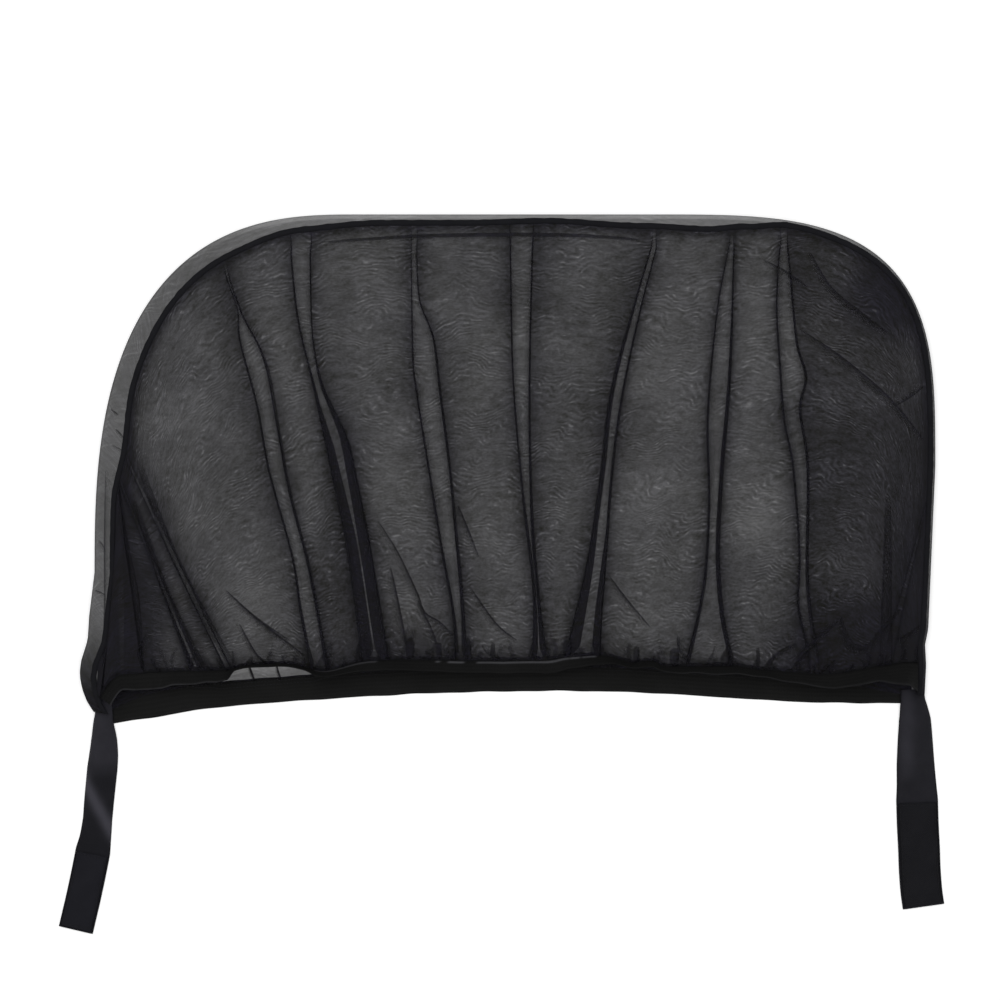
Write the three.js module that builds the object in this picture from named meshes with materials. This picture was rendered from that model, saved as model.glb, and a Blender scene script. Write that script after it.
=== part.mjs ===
// Car side window sunshade: a sock of sheer black mesh that slips over the frame of a rear door's window.
// Two mesh panels meet in a bound seam, which lies a little in from the edge, so the back panel rolls round the rim
// and over the front. Each panel is gathered onto an elastic band at the mouth, and two webbing straps with
// hook-and-loop pads close the mouth under the glass. The sock lies flat, front panel up, as it rests on a table.
// Millimetres. X runs across the window, Y from the mouth to the top edge, Z up from the table.
import * as THREE from "three";
import { mergeVertices } from "three/addons/utils/BufferGeometryUtils.js";

// Outline of the sock, from the line of its mouth to its top edge
const bodyWidth = 857;
const bodyHeight = 481;
const leftCornerWidth = 261;
const leftCornerHeight = 358;
const leftCornerRoundness = 2.7;
const rightCornerWidth = 280;
const rightCornerHeight = 252;
const rightCornerRoundness = 3.4;
const leftFlare = 15;
const rightTaper = 10;

// Materials' thicknesses, and the gap that is left where two pieces touch
const meshThickness = 0.6;
const bandThickness = 1.2;
const strapThickness = 1.4;
const padThickness = 1.5;
const seatGap = 0.3;

// Rim of the sock: the back panel turns up round it
const rimRadius = 4.5;

// Bound seam: its section, and how far it lies in from the outline at shares of the way round it
const bindingWidth = 6;
const bindingThickness = 2.4;
const bindingSides = 6;
const seamInset = [
  [0, 13],
  [0.05, 19],
  [0.12, 19],
  [0.155, 25],
  [0.2, 21],
  [0.31, 20],
  [0.36, 14],
  [0.41, 9],
  [0.46, 9],
  [0.51, 7],
  [0.57, 12],
  [0.61, 15],
  [0.635, 11],
  [0.66, 5.5],
  [0.7, 7],
  [0.75, 5.5],
  [1, 6],
];

// Front panel: where its gathered edge meets the sides, the edge's line, and how high the panel stands
const leftHemRise = 14;
const rightHemRise = 32;
const hemHeight = 10;
const hemHeightRun = 60;
const hemThickness = 2.2;
const hemRun = 0.008;
const frontLoft = 4.5;
const bayRise = 2.2;
const gatherDepth = 1.6;
const gatherRun = 0.2;
const hemLine = [
  [36, 18],
  [60, 22],
  [110, 24],
  [150, 25],
  [172, 29],
  [210, 30],
  [232, 25],
  [252, 24],
  [290, 34],
  [340, 35],
  [400, 34],
  [465, 35],
  [488, 38],
  [524, 39],
  [552, 32],
  [573, 33],
  [590, 28],
  [650, 29],
  [680, 25],
  [741, 21],
  [767, 23],
  [800, 29],
  [826, 33],
];

// Pleats of the front panel, from left to right. Each runs straight from the gathered edge, at hem millimetres from
// the body's left edge, to the seam, at a share of the way round. Widths are at the edge, halfway and at the seam.
// tuck is how far the pleat's sides fold under it at the gathered edge.
const pleats = [
  { hem: 118, seam: 0.118, widths: [10, 6, 3], height: 4, tuck: 1.5 },
  { hem: 150, seam: 0.147, widths: [7, 6, 3], height: 4, tuck: 1 },
  { hem: 239, seam: 0.295, widths: [15, 18, 8], height: 6, tuck: 2 },
  { hem: 291, seam: 0.345, widths: [25, 20, 16], height: 6.5, tuck: 9 },
  { hem: 379, seam: 0.425, widths: [11, 22, 14], height: 5.5, tuck: 2 },
  { hem: 457, seam: 0.488, widths: [7, 16, 20], height: 5, tuck: 1 },
  { hem: 501, seam: 0.573, widths: [30, 14, 5], height: 6, tuck: 8 },
  { hem: 625, seam: 0.622, widths: [34, 18, 8], height: 5, tuck: 3 },
  { hem: 731, seam: 0.656, widths: [9, 10, 7], height: 5, tuck: 2 },
  { hem: 806, seam: 0.88, widths: [10, 8, 4], height: 4, tuck: 2 },
];
const pleatFoot = 1.5;
const flatPleat = 0.12;
const bayColumns = [2, 2, 6, 2, 3, 2, 2, 3, 2, 8, 2];
const frontRows = [0, hemRun, 0.02, 0.05, 0.1, 0.17, 0.26, 0.36, 0.48, 0.6, 0.72, 0.83, 0.92, 0.97, 1];

// Front band: its width, and the angle that it stands up at, at shares of the way across. It stands on edge in the
// middle of the mouth and lies down near the sides.
const frontBandWidth = [
  [0, 14],
  [0.78, 14],
  [1, 27],
];
const frontBandTilt = [
  [0, 40],
  [0.04, 12],
  [0.12, 15],
  [0.19, 70],
  [0.72, 68],
  [0.82, 45],
  [0.9, 15],
  [1, 8],
];

// Back band: a flat arch on the table, by its middle line, with the panel's edge lapped onto it
const backBandWidth = 30;
const backBandLap = 6;
const backBandSlant = 14;
const backBandLine = [
  [24, -11],
  [68, -7],
  [118, 0],
  [178, 6],
  [258, 12],
  [338, 16],
  [418, 18.5],
  [498, 19],
  [578, 17],
  [658, 12],
  [738, 8],
  [834, 5],
];

// Back panel: shares of the way up it, and steps round the rim and over it
const backRows = [0, 0.02, 0.05, 0.12, 0.5];
const rimSteps = 4;
const backRipple = 1;
const backRippleRun = 0.1;
const cornerDrop = 4;

// Straps, down from the mouth: a middle line, with the width that shows and the height that the webbing arches to
const leftStrapWidth = 35;
const rightStrapWidth = 42;
const leftStrapLine = [
  { x: 16.5, y: -6, width: 22, arch: 2, rise: 1 },
  { x: 19, y: -19, width: 25, arch: 4, rise: 1 },
  { x: 21, y: -34, width: 27, arch: 6, rise: 0.8 },
  { x: 20.5, y: -54, width: 29, arch: 6.5, rise: 0.25 },
  { x: 18.5, y: -76, width: 31, arch: 5, rise: 0 },
  { x: 16, y: -99, width: 32.5, arch: 3, rise: 0 },
  { x: 13, y: -123, width: 34, arch: 1, rise: 0 },
];
const leftPadLine = [
  { x: 11, y: -136 },
  { x: 8.5, y: -156 },
  { x: 5, y: -176 },
  { x: 0.5, y: -198 },
  { x: -4, y: -218 },
  { x: -7.5, y: -234 },
];
const rightStrapLine = [
  { x: 833, y: -5, width: 25, arch: 2, rise: 1 },
  { x: 833.5, y: -16, width: 29, arch: 4, rise: 1 },
  { x: 834.5, y: -30, width: 33, arch: 6, rise: 0.8 },
  { x: 834.5, y: -46, width: 35.5, arch: 6, rise: 0.3 },
  { x: 835, y: -64, width: 37.5, arch: 4.5, rise: 0 },
  { x: 835.5, y: -82, width: 39.5, arch: 2, rise: 0 },
];
const rightPadLine = [
  { x: 836, y: -94 },
  { x: 837, y: -118 },
  { x: 838.5, y: -142 },
  { x: 840, y: -166 },
  { x: 841.5, y: -190 },
  { x: 842.5, y: -211 },
];
const padMargin = 1.5;
const padEndMargin = 2;
const strapAcross = 6;

// Materials
const sheerMesh = new THREE.MeshStandardMaterial({ color: 0x17171a, roughness: 0.85, metalness: 0 });
const tapeBlack = new THREE.MeshStandardMaterial({ color: 0x101012, roughness: 0.8, metalness: 0 });
const elasticBlack = new THREE.MeshStandardMaterial({ color: 0x141414, roughness: 0.75, metalness: 0 });
const webbingBlack = new THREE.MeshStandardMaterial({ color: 0x1d1d22, roughness: 0.7, metalness: 0 });
const padBlack = new THREE.MeshStandardMaterial({ color: 0x1a1a1d, roughness: 0.9, metalness: 0 });

// Value of a table of [share, value] pairs at a share, in smooth steps between the pairs
function tableAt(table, share) {
  let k = 0;
  while (k < table.length - 2 && share > table[k + 1][0]) k += 1;
  const [from, low] = table[k];
  const [to, high] = table[k + 1];
  const step = THREE.MathUtils.smoothstep(share, from, to);
  return low + (high - low) * step;
}

// A line through points in the plane, measured along its length
class Route {
  constructor(points) {
    this.points = points;
    this.lengths = [0];
    for (let i = 1; i < points.length; i += 1) {
      this.lengths.push(this.lengths[i - 1] + points[i].distanceTo(points[i - 1]));
    }
    this.length = this.lengths.at(-1);
  }

  at(share) {
    const wanted = THREE.MathUtils.clamp(share, 0, 1) * this.length;
    let k = 1;
    while (k < this.lengths.length - 1 && this.lengths[k] < wanted) k += 1;
    const part = (wanted - this.lengths[k - 1]) / (this.lengths[k] - this.lengths[k - 1]);
    return this.points[k - 1].clone().lerp(this.points[k], part);
  }

  // Unit vector to the right of the way along the line, taken over a short stretch
  side(share) {
    const reach = 0.004;
    const before = this.at(share - reach);
    const after = this.at(share + reach);
    const along = after.sub(before).normalize();
    return new THREE.Vector2(along.y, -along.x);
  }
}

function splineRoute(points, steps) {
  return new Route(new THREE.SplineCurve(points).getPoints(steps));
}

// Quarter of a superellipse, from its side at angle 0 to its top at a right angle
function cornerPoints(centre, width, height, roundness, steps) {
  const points = [];
  for (let i = 0; i <= steps; i += 1) {
    const angle = (i / steps) * (Math.PI / 2);
    const across = Math.cos(angle) ** (2 / roundness);
    const up = Math.sin(angle) ** (2 / roundness);
    points.push(new THREE.Vector2(centre.x + width * across, centre.y + height * up));
  }
  return points;
}

// The outline, clockwise from the mouth's left corner over the top to its right corner
function outlineRoute() {
  const cornerSteps = 40;
  const leftCentre = new THREE.Vector2(leftFlare + leftCornerWidth, bodyHeight - leftCornerHeight);
  const rightCentre = new THREE.Vector2(bodyWidth - rightCornerWidth, bodyHeight - rightCornerHeight);
  const left = cornerPoints(leftCentre, -leftCornerWidth, leftCornerHeight, leftCornerRoundness, cornerSteps);
  const right = cornerPoints(rightCentre, rightCornerWidth, rightCornerHeight, rightCornerRoundness, cornerSteps);
  return new Route([
    new THREE.Vector2(0, 0),
    ...left,
    ...right.reverse(),
    new THREE.Vector2(bodyWidth - rightTaper, 0),
  ]);
}

const outline = outlineRoute();

// A point of the rim's section at a station of the outline: travel is the way along the section, from where the
// flat underside ends, round the half circle, and inwards over the top. Z is the mesh's own middle.
const rimRound = Math.PI * rimRadius;
function rimPoint(station, travel) {
  const angle = THREE.MathUtils.clamp(travel / rimRadius, 0, Math.PI);
  const inward = Math.max(travel - rimRound, 0);
  const inset = rimRadius - rimRadius * Math.sin(angle) + inward;
  const place = outline.at(station).addScaledVector(outline.side(station), inset);
  return new THREE.Vector3(place.x, place.y, meshThickness / 2 + rimRadius - rimRadius * Math.cos(angle));
}

// Where the middle of the bound seam lies along the rim's section
function seamTravel(station) {
  const inset = tableAt(seamInset, station);
  if (inset >= rimRadius) return rimRound + inset - rimRadius;
  return rimRound - rimRadius * Math.asin(1 - inset / rimRadius);
}

const seamSeat = bindingWidth / 2 + seatGap;
const frontEdge = (station) => rimPoint(station, seamTravel(station) + seamSeat);

// Closed shell about a grid of points, rows[j][i], whose faces point up where i runs along X and j along Y. Rows
// may have thicknesses of their own.
function shellOf(rows, thickness, rowThickness = {}) {
  const deep = rows.length;
  const wide = rows[0].length;
  const faceNormal = (j, i) => {
    const across = rows[j + 1][i + 1].clone().sub(rows[j][i]);
    return across.cross(rows[j + 1][i].clone().sub(rows[j][i + 1])).normalize();
  };
  const normals = rows.map((row, j) =>
    row.map((_, i) => {
      const around = [];
      for (const [down, left] of [[j - 1, i - 1], [j - 1, i], [j, i - 1], [j, i]]) {
        const inside = down >= 0 && down < deep - 1 && left >= 0 && left < wide - 1;
        if (inside) around.push(faceNormal(down, left));
      }
      return around.reduce((sum, one) => sum.add(one), new THREE.Vector3()).normalize();
    }),
  );
  const positions = [];
  const offset = (sign) => {
    rows.forEach((row, j) =>
      row.forEach((point, i) => {
        const thick = rowThickness[j] ?? thickness;
        const moved = point.clone().addScaledVector(normals[j][i], (sign * thick) / 2);
        positions.push(moved.x, moved.y, moved.z);
      }),
    );
  };
  offset(1);
  offset(-1);
  const top = (j, i) => j * wide + i;
  const under = (j, i) => deep * wide + j * wide + i;
  const faces = [];
  const quad = (a, b, c, d) => faces.push(a, b, c, a, c, d);
  for (let j = 0; j < deep - 1; j += 1) {
    for (let i = 0; i < wide - 1; i += 1) {
      quad(top(j, i), top(j, i + 1), top(j + 1, i + 1), top(j + 1, i));
      quad(under(j, i), under(j + 1, i), under(j + 1, i + 1), under(j, i + 1));
    }
    quad(top(j, 0), top(j + 1, 0), under(j + 1, 0), under(j, 0));
    quad(top(j, wide - 1), under(j, wide - 1), under(j + 1, wide - 1), top(j + 1, wide - 1));
  }
  for (let i = 0; i < wide - 1; i += 1) {
    quad(top(0, i), under(0, i), under(0, i + 1), top(0, i + 1));
    quad(top(deep - 1, i), top(deep - 1, i + 1), under(deep - 1, i + 1), under(deep - 1, i));
  }
  return geometryOf(positions, faces);
}

// Closed solid through a list of closed rings, each with the same number of points
function loftOf(rings) {
  const sides = rings[0].length;
  const positions = rings.flat().flatMap((point) => [point.x, point.y, point.z]);
  const faces = [];
  for (let j = 0; j < rings.length - 1; j += 1) {
    for (let i = 0; i < sides; i += 1) {
      const next = (i + 1) % sides;
      const [a, b] = [j * sides + i, j * sides + next];
      faces.push(a, b, b + sides, a, b + sides, a + sides);
    }
  }
  const last = (rings.length - 1) * sides;
  for (let i = 1; i < sides - 1; i += 1) {
    faces.push(0, i + 1, i);
    faces.push(last, last + i, last + i + 1);
  }
  return geometryOf(positions, faces);
}

function geometryOf(positions, faces) {
  const geometry = new THREE.BufferGeometry();
  geometry.setAttribute("position", new THREE.Float32BufferAttribute(positions, 3));
  geometry.setIndex(faces);
  const merged = mergeVertices(geometry, 1e-4);
  merged.computeVertexNormals();
  return merged;
}

// The gathered edge's ends on the rim, and its line between them
const leftStation = leftHemRise / outline.length;
const rightStation = 1 - rightHemRise / outline.length;
const sideRun = 0.014;
const hemLeft = frontEdge(leftStation);
const hemRight = frontEdge(rightStation);
const hemWidth = hemRight.x - hemLeft.x;
const hemMiddles = hemLine.map(([x, y]) => new THREE.Vector2(x, y));
const hemRoute = splineRoute(
  [new THREE.Vector2(hemLeft.x, hemLeft.y), ...hemMiddles, new THREE.Vector2(hemRight.x, hemRight.y)],
  240,
);

// The point of a line that runs along X, at an X
function routeAtX(route, x) {
  let low = 0;
  let high = 1;
  for (let i = 0; i < 24; i += 1) {
    const middle = (low + high) / 2;
    if (route.at(middle).x < x) low = middle;
    else high = middle;
  }
  return route.at(low);
}

// A point of the gathered edge, at a share of the way across it
function hemPoint(share) {
  const place = routeAtX(hemRoute, hemLeft.x + share * hemWidth);
  const fromSide = Math.min(share, 1 - share) * hemWidth;
  const side = share < 0.5 ? hemLeft.z : hemRight.z;
  const height = THREE.MathUtils.lerp(side, hemHeight, THREE.MathUtils.smoothstep(fromSide, 0, hemHeightRun));
  return new THREE.Vector3(place.x, place.y, height);
}

// Quadratic through a pleat's three widths
function pleatWidth(pleat, up) {
  const [low, middle, high] = pleat.widths;
  return low * (1 - up) * (1 - 2 * up) + middle * 4 * up * (1 - up) + high * up * (2 * up - 1);
}

// One pleat's section at a height: out from its left foot, under itself, over the top and down to its right foot.
// It is flattened at the gathered edge and runs out flat at the seam.
function pleatSection(pleat, up) {
  const half = Math.max(pleatWidth(pleat, up), 3) / 2;
  const open = THREE.MathUtils.smoothstep(up, hemRun, flatPleat);
  const folded = open * (1 - THREE.MathUtils.smoothstep(up, 0.3, 0.86));
  const neck = half - THREE.MathUtils.lerp(-pleatFoot / 2, Math.min(pleat.tuck, half - 1), folded);
  const closing = 1 - THREE.MathUtils.smoothstep(up, 0.88, 1);
  const height = pleat.height * (1 - 0.55 * up) * open * closing;
  return [
    [-half - pleatFoot, 0],
    [-neck, 0.28 * height],
    [-half, 0.66 * height],
    [0, height],
    [half, 0.66 * height],
    [neck, 0.28 * height],
    [half + pleatFoot, 0],
  ];
}

// Columns of the front panel at a height: the share of the gathered edge and the station of the seam that each
// lies between, and how far it is lifted
function columnsAt(up) {
  const columns = [{ share: 0, station: leftStation + sideRun, lift: 0 }];
  const gather = gatherDepth * Math.sin(Math.PI * THREE.MathUtils.inverseLerp(hemRun, gatherRun, up));
  [...pleats, null].forEach((pleat, k) => {
    const spot = (across, lift) => ({
      share: (pleat.hem - hemLeft.x + across) / hemWidth,
      station: pleat.seam + across / outline.length,
      lift,
    });
    const section = pleat
      ? pleatSection(pleat, up).map(([across, lift]) => spot(across, lift))
      : [{ share: 1, station: rightStation - sideRun, lift: 0 }];
    const from = columns.at(-1);
    const [to] = section;
    for (let i = 1; i <= bayColumns[k]; i += 1) {
      const part = i / (bayColumns[k] + 1);
      const bay = bayRise * Math.sin(Math.PI * part) * fullness(up);
      columns.push({
        share: THREE.MathUtils.lerp(from.share, to.share, part),
        station: THREE.MathUtils.lerp(from.station, to.station, part),
        lift: bay + (i % 2 ? Math.max(gather, 0) : 0),
      });
    }
    columns.push(...section);
  });
  return columns;
}

// Fullness from 0 at an edge, and along the hem's bead, to 1 inside, for a share of the way from edge to edge
function fullness(share) {
  const inside = Math.max(THREE.MathUtils.inverseLerp(hemRun, 1, share), 0);
  return (4 * inside * (1 - inside)) ** 0.4;
}

function frontRow(up) {
  return columnsAt(up).map(({ share, station, lift }) => {
    const place = hemPoint(share).lerp(frontEdge(station), up);
    place.z += lift + frontLoft * fullness(up) * fullness(THREE.MathUtils.clamp(share, 0, 1));
    return place;
  });
}

function frontPanel() {
  return shellOf(frontRows.map(frontRow), meshThickness, { 0: hemThickness, 1: hemThickness });
}

// Stations of the rim that the back panel and the binding share with the front panel, so that their edges run
// side by side, each with its place along the back panel's lower edge
const rimStations = [
  { share: 0, station: 0 },
  { share: 0, station: leftStation },
  ...columnsAt(1),
  { share: 1, station: rightStation },
  { share: 1, station: 1 },
].map(({ station }, i, all) => ({ share: i / (all.length - 1), station }));

// The back panel's lower edge: from corner to corner of the rim, lapped onto the band between them
const backBandMiddles = backBandLine.map(([x, y]) => new THREE.Vector2(x, y));
const backBandRoute = splineRoute(backBandMiddles, 120);
const backLap = new THREE.Vector2(0, backBandWidth / 2 - backBandLap);
const backCorner = (station) => new THREE.Vector2(rimPoint(station, 0).x, rimPoint(station, 0).y - cornerDrop);
const backEdge = splineRoute(
  [backCorner(0), ...backBandMiddles.slice(1, -1).map((middle) => middle.clone().add(backLap)), backCorner(1)],
  200,
);

// How far up the band's upper edge a point of the back panel is
function overBand(place) {
  return place.y - routeAtX(backBandRoute, place.x).y - backBandWidth / 2;
}

function backRow(up) {
  const lap = bandThickness + seatGap;
  return rimStations.map(({ share, station }, i) => {
    const low = routeAtX(backEdge, THREE.MathUtils.lerp(backEdge.at(0).x, backEdge.at(1).x, share));
    const high = rimPoint(station, 0);
    const place = new THREE.Vector3(low.x, low.y, high.z).lerp(high, up);
    const inside = i > 0 && i < rimStations.length - 1;
    const ripple = inside ? backRipple * (i % 2) * Math.sin(Math.PI * Math.min(up / backRippleRun, 1)) : 0;
    place.z += lap * (1 - THREE.MathUtils.smoothstep(overBand(place), 10, 28)) + ripple;
    return place;
  });
}

// The rim's rows: up round the half circle, then inwards over it to the binding
function rimRow(step) {
  return rimStations.map(({ station }) => {
    const end = seamTravel(station) - seamSeat;
    if (step > rimSteps) return rimPoint(station, end);
    const turned = (Math.min(rimRound, end - seatGap) * step) / rimSteps;
    return rimPoint(station, Math.max(turned, seatGap));
  });
}

// The back panel's flat part, out to where it turns up
function backPanel() {
  const rows = backRows.map(backRow);
  rows.push(backRow(1));
  return shellOf(rows, meshThickness);
}

// The back panel's edge, turned up round the rim and in to the binding
function backPanelEdge() {
  const rows = [];
  for (let step = 0; step <= rimSteps + 1; step += 1) rows.push(rimRow(step));
  return shellOf(rows, meshThickness);
}

function edgeBinding() {
  const rings = rimStations.map(({ station }) => {
    const middle = seamTravel(station);
    const centre = rimPoint(station, middle);
    const across = rimPoint(station, middle + 0.5).sub(rimPoint(station, middle - 0.5)).normalize();
    const side = outline.side(station);
    const along = new THREE.Vector3(-side.y, side.x, 0);
    const up = along.clone().cross(across).normalize();
    const ring = [];
    for (let k = 0; k < bindingSides; k += 1) {
      const angle = (k / bindingSides) * Math.PI * 2;
      const spot = centre.clone().addScaledVector(across, (Math.cos(angle) * bindingWidth) / 2);
      ring.push(spot.addScaledVector(up, (Math.sin(angle) * bindingThickness) / 2));
    }
    return ring;
  });
  return loftOf(rings);
}

// The front band leaves the panel's edge with the seat's gap and turns up by its tilt
function frontBand() {
  const trim = 0.004;
  const half = bandThickness / 2;
  const shares = columnsAt(0).map(({ share }) => THREE.MathUtils.clamp(share, trim, 1 - trim));
  const roots = [];
  const tips = shares.map((share) => {
    const along = hemPoint(share + trim).sub(hemPoint(share - trim)).setZ(0).normalize();
    const out = new THREE.Vector3(along.y, -along.x, 0);
    const tilt = THREE.MathUtils.degToRad(tableAt(frontBandTilt, share));
    const down = out.clone().multiplyScalar(Math.cos(tilt)).setZ(Math.sin(tilt));
    const root = hemPoint(share).addScaledVector(out, seatGap + half * Math.sin(tilt));
    roots.push(root);
    return root.clone().addScaledVector(down, tableAt(frontBandWidth, share));
  });
  return shellOf([tips, roots], bandThickness);
}

function backBand() {
  const stations = 40;
  const half = backBandWidth / 2;
  const rings = [];
  for (let i = 0; i <= stations; i += 1) {
    const share = i / stations;
    const middle = backBandRoute.at(share);
    const side = backBandRoute.side(share);
    const slant = backBandSlant * (1 - THREE.MathUtils.smoothstep(share, 0, 0.08));
    const point = (across, height) => {
      const place = middle.clone().addScaledVector(side, across);
      const shift = slant * (0.5 - across / backBandWidth);
      return new THREE.Vector3(place.x + shift, place.y, height);
    };
    rings.push([point(-half, 0), point(-half, bandThickness), point(half, bandThickness), point(half, 0)]);
  }
  return loftOf(rings);
}

// A strap lies on the band's end with its edges down, arches a little, and comes down flat on the table
function strapRows(line, padLine, width) {
  const flat = padLine.map(({ x, y }) => ({ x, y, width, arch: 0, rise: 0 }));
  const stops = [...line, ...flat];
  const route = new THREE.SplineCurve(stops.map(({ x, y }) => new THREE.Vector2(x, y)));
  const seat = bandThickness + seatGap;
  const rows = stops.map((stop, k) => {
    const along = route.getTangent(k / (stops.length - 1));
    const side = new THREE.Vector2(-along.y, along.x);
    const row = [];
    for (let i = 0; i <= strapAcross; i += 1) {
      const across = i / strapAcross - 0.5;
      const arched = stop.arch * Math.cos(Math.PI * across);
      const place = new THREE.Vector2(stop.x, stop.y).addScaledVector(side, across * stop.width);
      row.push(new THREE.Vector3(place.x, place.y, strapThickness / 2 + seat * stop.rise + arched));
    }
    return row;
  });
  return rows.reverse();
}

function strap(line, padLine, width) {
  return shellOf(strapRows(line, padLine, width), strapThickness);
}

// A pad covers the flat end of its strap, short of the strap's edges and end
function pad(line, padLine, width) {
  const flatRows = strapRows(line, padLine, width).slice(0, padLine.length);
  const lift = strapThickness / 2 + seatGap + padThickness / 2;
  const inset = padMargin / width;
  const rows = flatRows.map((row) => {
    const left = row[0].clone().lerp(row.at(-1), inset);
    const right = row[0].clone().lerp(row.at(-1), 1 - inset);
    return [left, right].map((point) => point.setZ(point.z + lift));
  });
  const ends = [rows[0], rows.at(-1)];
  const inner = [rows[1], rows.at(-2)];
  ends.forEach((end, k) =>
    end.forEach((point, i) => {
      const back = inner[k][i].clone().sub(point).setLength(padEndMargin);
      point.add(back);
    }),
  );
  return shellOf(rows, padThickness);
}

const shade = new THREE.Group();

function addPiece(name, geometry, material) {
  const piece = new THREE.Mesh(geometry, material);
  piece.name = name;
  shade.add(piece);
}

addPiece("front_mesh_panel", frontPanel(), sheerMesh);
addPiece("back_mesh_panel", backPanel(), sheerMesh);
addPiece("back_panel_edge", backPanelEdge(), sheerMesh);
addPiece("edge_binding", edgeBinding(), tapeBlack);
addPiece("front_elastic_band", frontBand(), elasticBlack);
addPiece("back_elastic_band", backBand(), elasticBlack);
addPiece("left_strap", strap(leftStrapLine, leftPadLine, leftStrapWidth), webbingBlack);
addPiece("right_strap", strap(rightStrapLine, rightPadLine, rightStrapWidth), webbingBlack);
addPiece("loop_pad", pad(leftStrapLine, leftPadLine, leftStrapWidth), padBlack);
addPiece("hook_pad", pad(rightStrapLine, rightPadLine, rightStrapWidth), padBlack);

// The origin is on the table, under the middle of the whole shade
const extent = new THREE.Box3().setFromObject(shade);
const middle = extent.getCenter(new THREE.Vector3());
shade.position.set(-middle.x, -middle.y, -extent.min.z);

export default shade;
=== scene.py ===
"""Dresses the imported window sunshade: sheer mesh panels, bound seam, elastic bands, straps and their pads."""
import logging
import math
from dataclasses import dataclass, field
from enum import Enum
from typing import Any, Callable, Optional, Sequence, Union

import bmesh
import bpy
import numpy as np
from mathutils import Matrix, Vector
from mathutils.bvhtree import BVHTree


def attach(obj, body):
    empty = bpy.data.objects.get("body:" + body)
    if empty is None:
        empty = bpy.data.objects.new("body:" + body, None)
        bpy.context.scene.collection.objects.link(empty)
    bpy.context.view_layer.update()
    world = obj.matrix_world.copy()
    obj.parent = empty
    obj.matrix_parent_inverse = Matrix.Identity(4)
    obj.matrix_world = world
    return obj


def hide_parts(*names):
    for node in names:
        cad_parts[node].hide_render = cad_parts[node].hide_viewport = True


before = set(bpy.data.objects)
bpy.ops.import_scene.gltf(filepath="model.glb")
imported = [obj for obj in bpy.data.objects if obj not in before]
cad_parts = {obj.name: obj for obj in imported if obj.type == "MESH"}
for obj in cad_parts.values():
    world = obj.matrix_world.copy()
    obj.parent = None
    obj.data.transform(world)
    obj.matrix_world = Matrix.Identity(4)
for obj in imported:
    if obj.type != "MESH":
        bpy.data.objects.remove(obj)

LOG = logging.getLogger("sunshade")
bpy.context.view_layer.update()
MM = 0.001
# Where the plan's origin, the mouth's left corner, lies in the frame, in millimetres
PLACE = np.array([-419.44, -121.78, 0.0])
# The least upright part of a normal that counts, so that steep cloth doesn't turn solid
LEAST_UPRIGHT = 0.28

Number = Union[int, float]
Array = np.ndarray
Pairs = Sequence[tuple[float, float]]
Line = tuple[tuple[float, float], ...]


class Body(Enum):
    """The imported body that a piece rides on."""

    ROOT = "root"


class Slot(Enum):
    """The record's material slots."""

    MESH = "mesh"
    BINDING = "binding"
    ELASTIC = "elastic"
    WEBBING = "webbing"
    PAD = "pad"


class Held(Enum):
    """How a sheet of cloth is held."""

    GATHERED = "gathered"
    LAID = "laid"


# ---------------------------------------------------------------------------------------------- curves


def smoothstep(value: Array, low: float, high: float) -> Array:
    """Smooth step from 0 at low to 1 at high.

    Args:
        value: Where to read it.
        low: Where the step starts.
        high: Where the step ends.

    Returns:
        The step's value, from 0 to 1.
    """
    part = np.clip((np.asarray(value, float) - low) / (high - low), 0.0, 1.0)
    return part * part * (3.0 - 2.0 * part)


def table_at(table: Pairs, share: Array) -> Array:
    """Value of a table of (share, value) pairs, in smooth steps between the pairs.

    Args:
        table: The pairs, in order of share.
        share: Where to read it.

    Returns:
        The values.
    """
    share = np.asarray(share, float)
    shares, values = np.array(table, float).T
    k = np.clip(np.searchsorted(shares, share, side="left") - 1, 0, len(table) - 2)
    part = smoothstep((share - shares[k]) / (shares[k + 1] - shares[k]), 0.0, 1.0)
    return values[k] + (values[k + 1] - values[k]) * part


def spline(points: Array, steps: int) -> Array:
    """Uniform Catmull-Rom curve through points.

    Args:
        points: The points, one a row.
        steps: How many steps the whole curve is cut into.

    Returns:
        steps + 1 points.
    """
    points = np.asarray(points, float)
    last = len(points) - 1
    spot = np.linspace(0.0, last, steps + 1)
    k = np.minimum(spot.astype(int), last - 1)
    t = (spot - k)[:, None]
    p1, p2 = points[k], points[k + 1]
    p0 = points[np.maximum(k - 1, 0)]
    p3 = points[np.minimum(k + 2, last)]
    v1, v2 = (p2 - p0) / 2.0, (p3 - p1) / 2.0
    return (
        (2 * p1 - 2 * p2 + v1 + v2) * t**3
        + (-3 * p1 + 3 * p2 - 2 * v1 - v2) * t**2
        + v1 * t
        + p1
    )


def unit(vectors: Array) -> Array:
    """Vectors of the same ways and of length 1."""
    return vectors / np.linalg.norm(vectors, axis=-1, keepdims=True)


def run_along(points: Array, axis: int = 0) -> Array:
    """Length along lines of points, from 0 at the first point.

    Args:
        points: The points, their coordinates last.
        axis: The axis that the lines run along.

    Returns:
        The length at each point.
    """
    total = np.cumsum(np.linalg.norm(np.diff(points, axis=axis), axis=-1), axis=axis)
    return np.concatenate([np.zeros_like(np.take(total, [0], axis)), total], axis)


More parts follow.
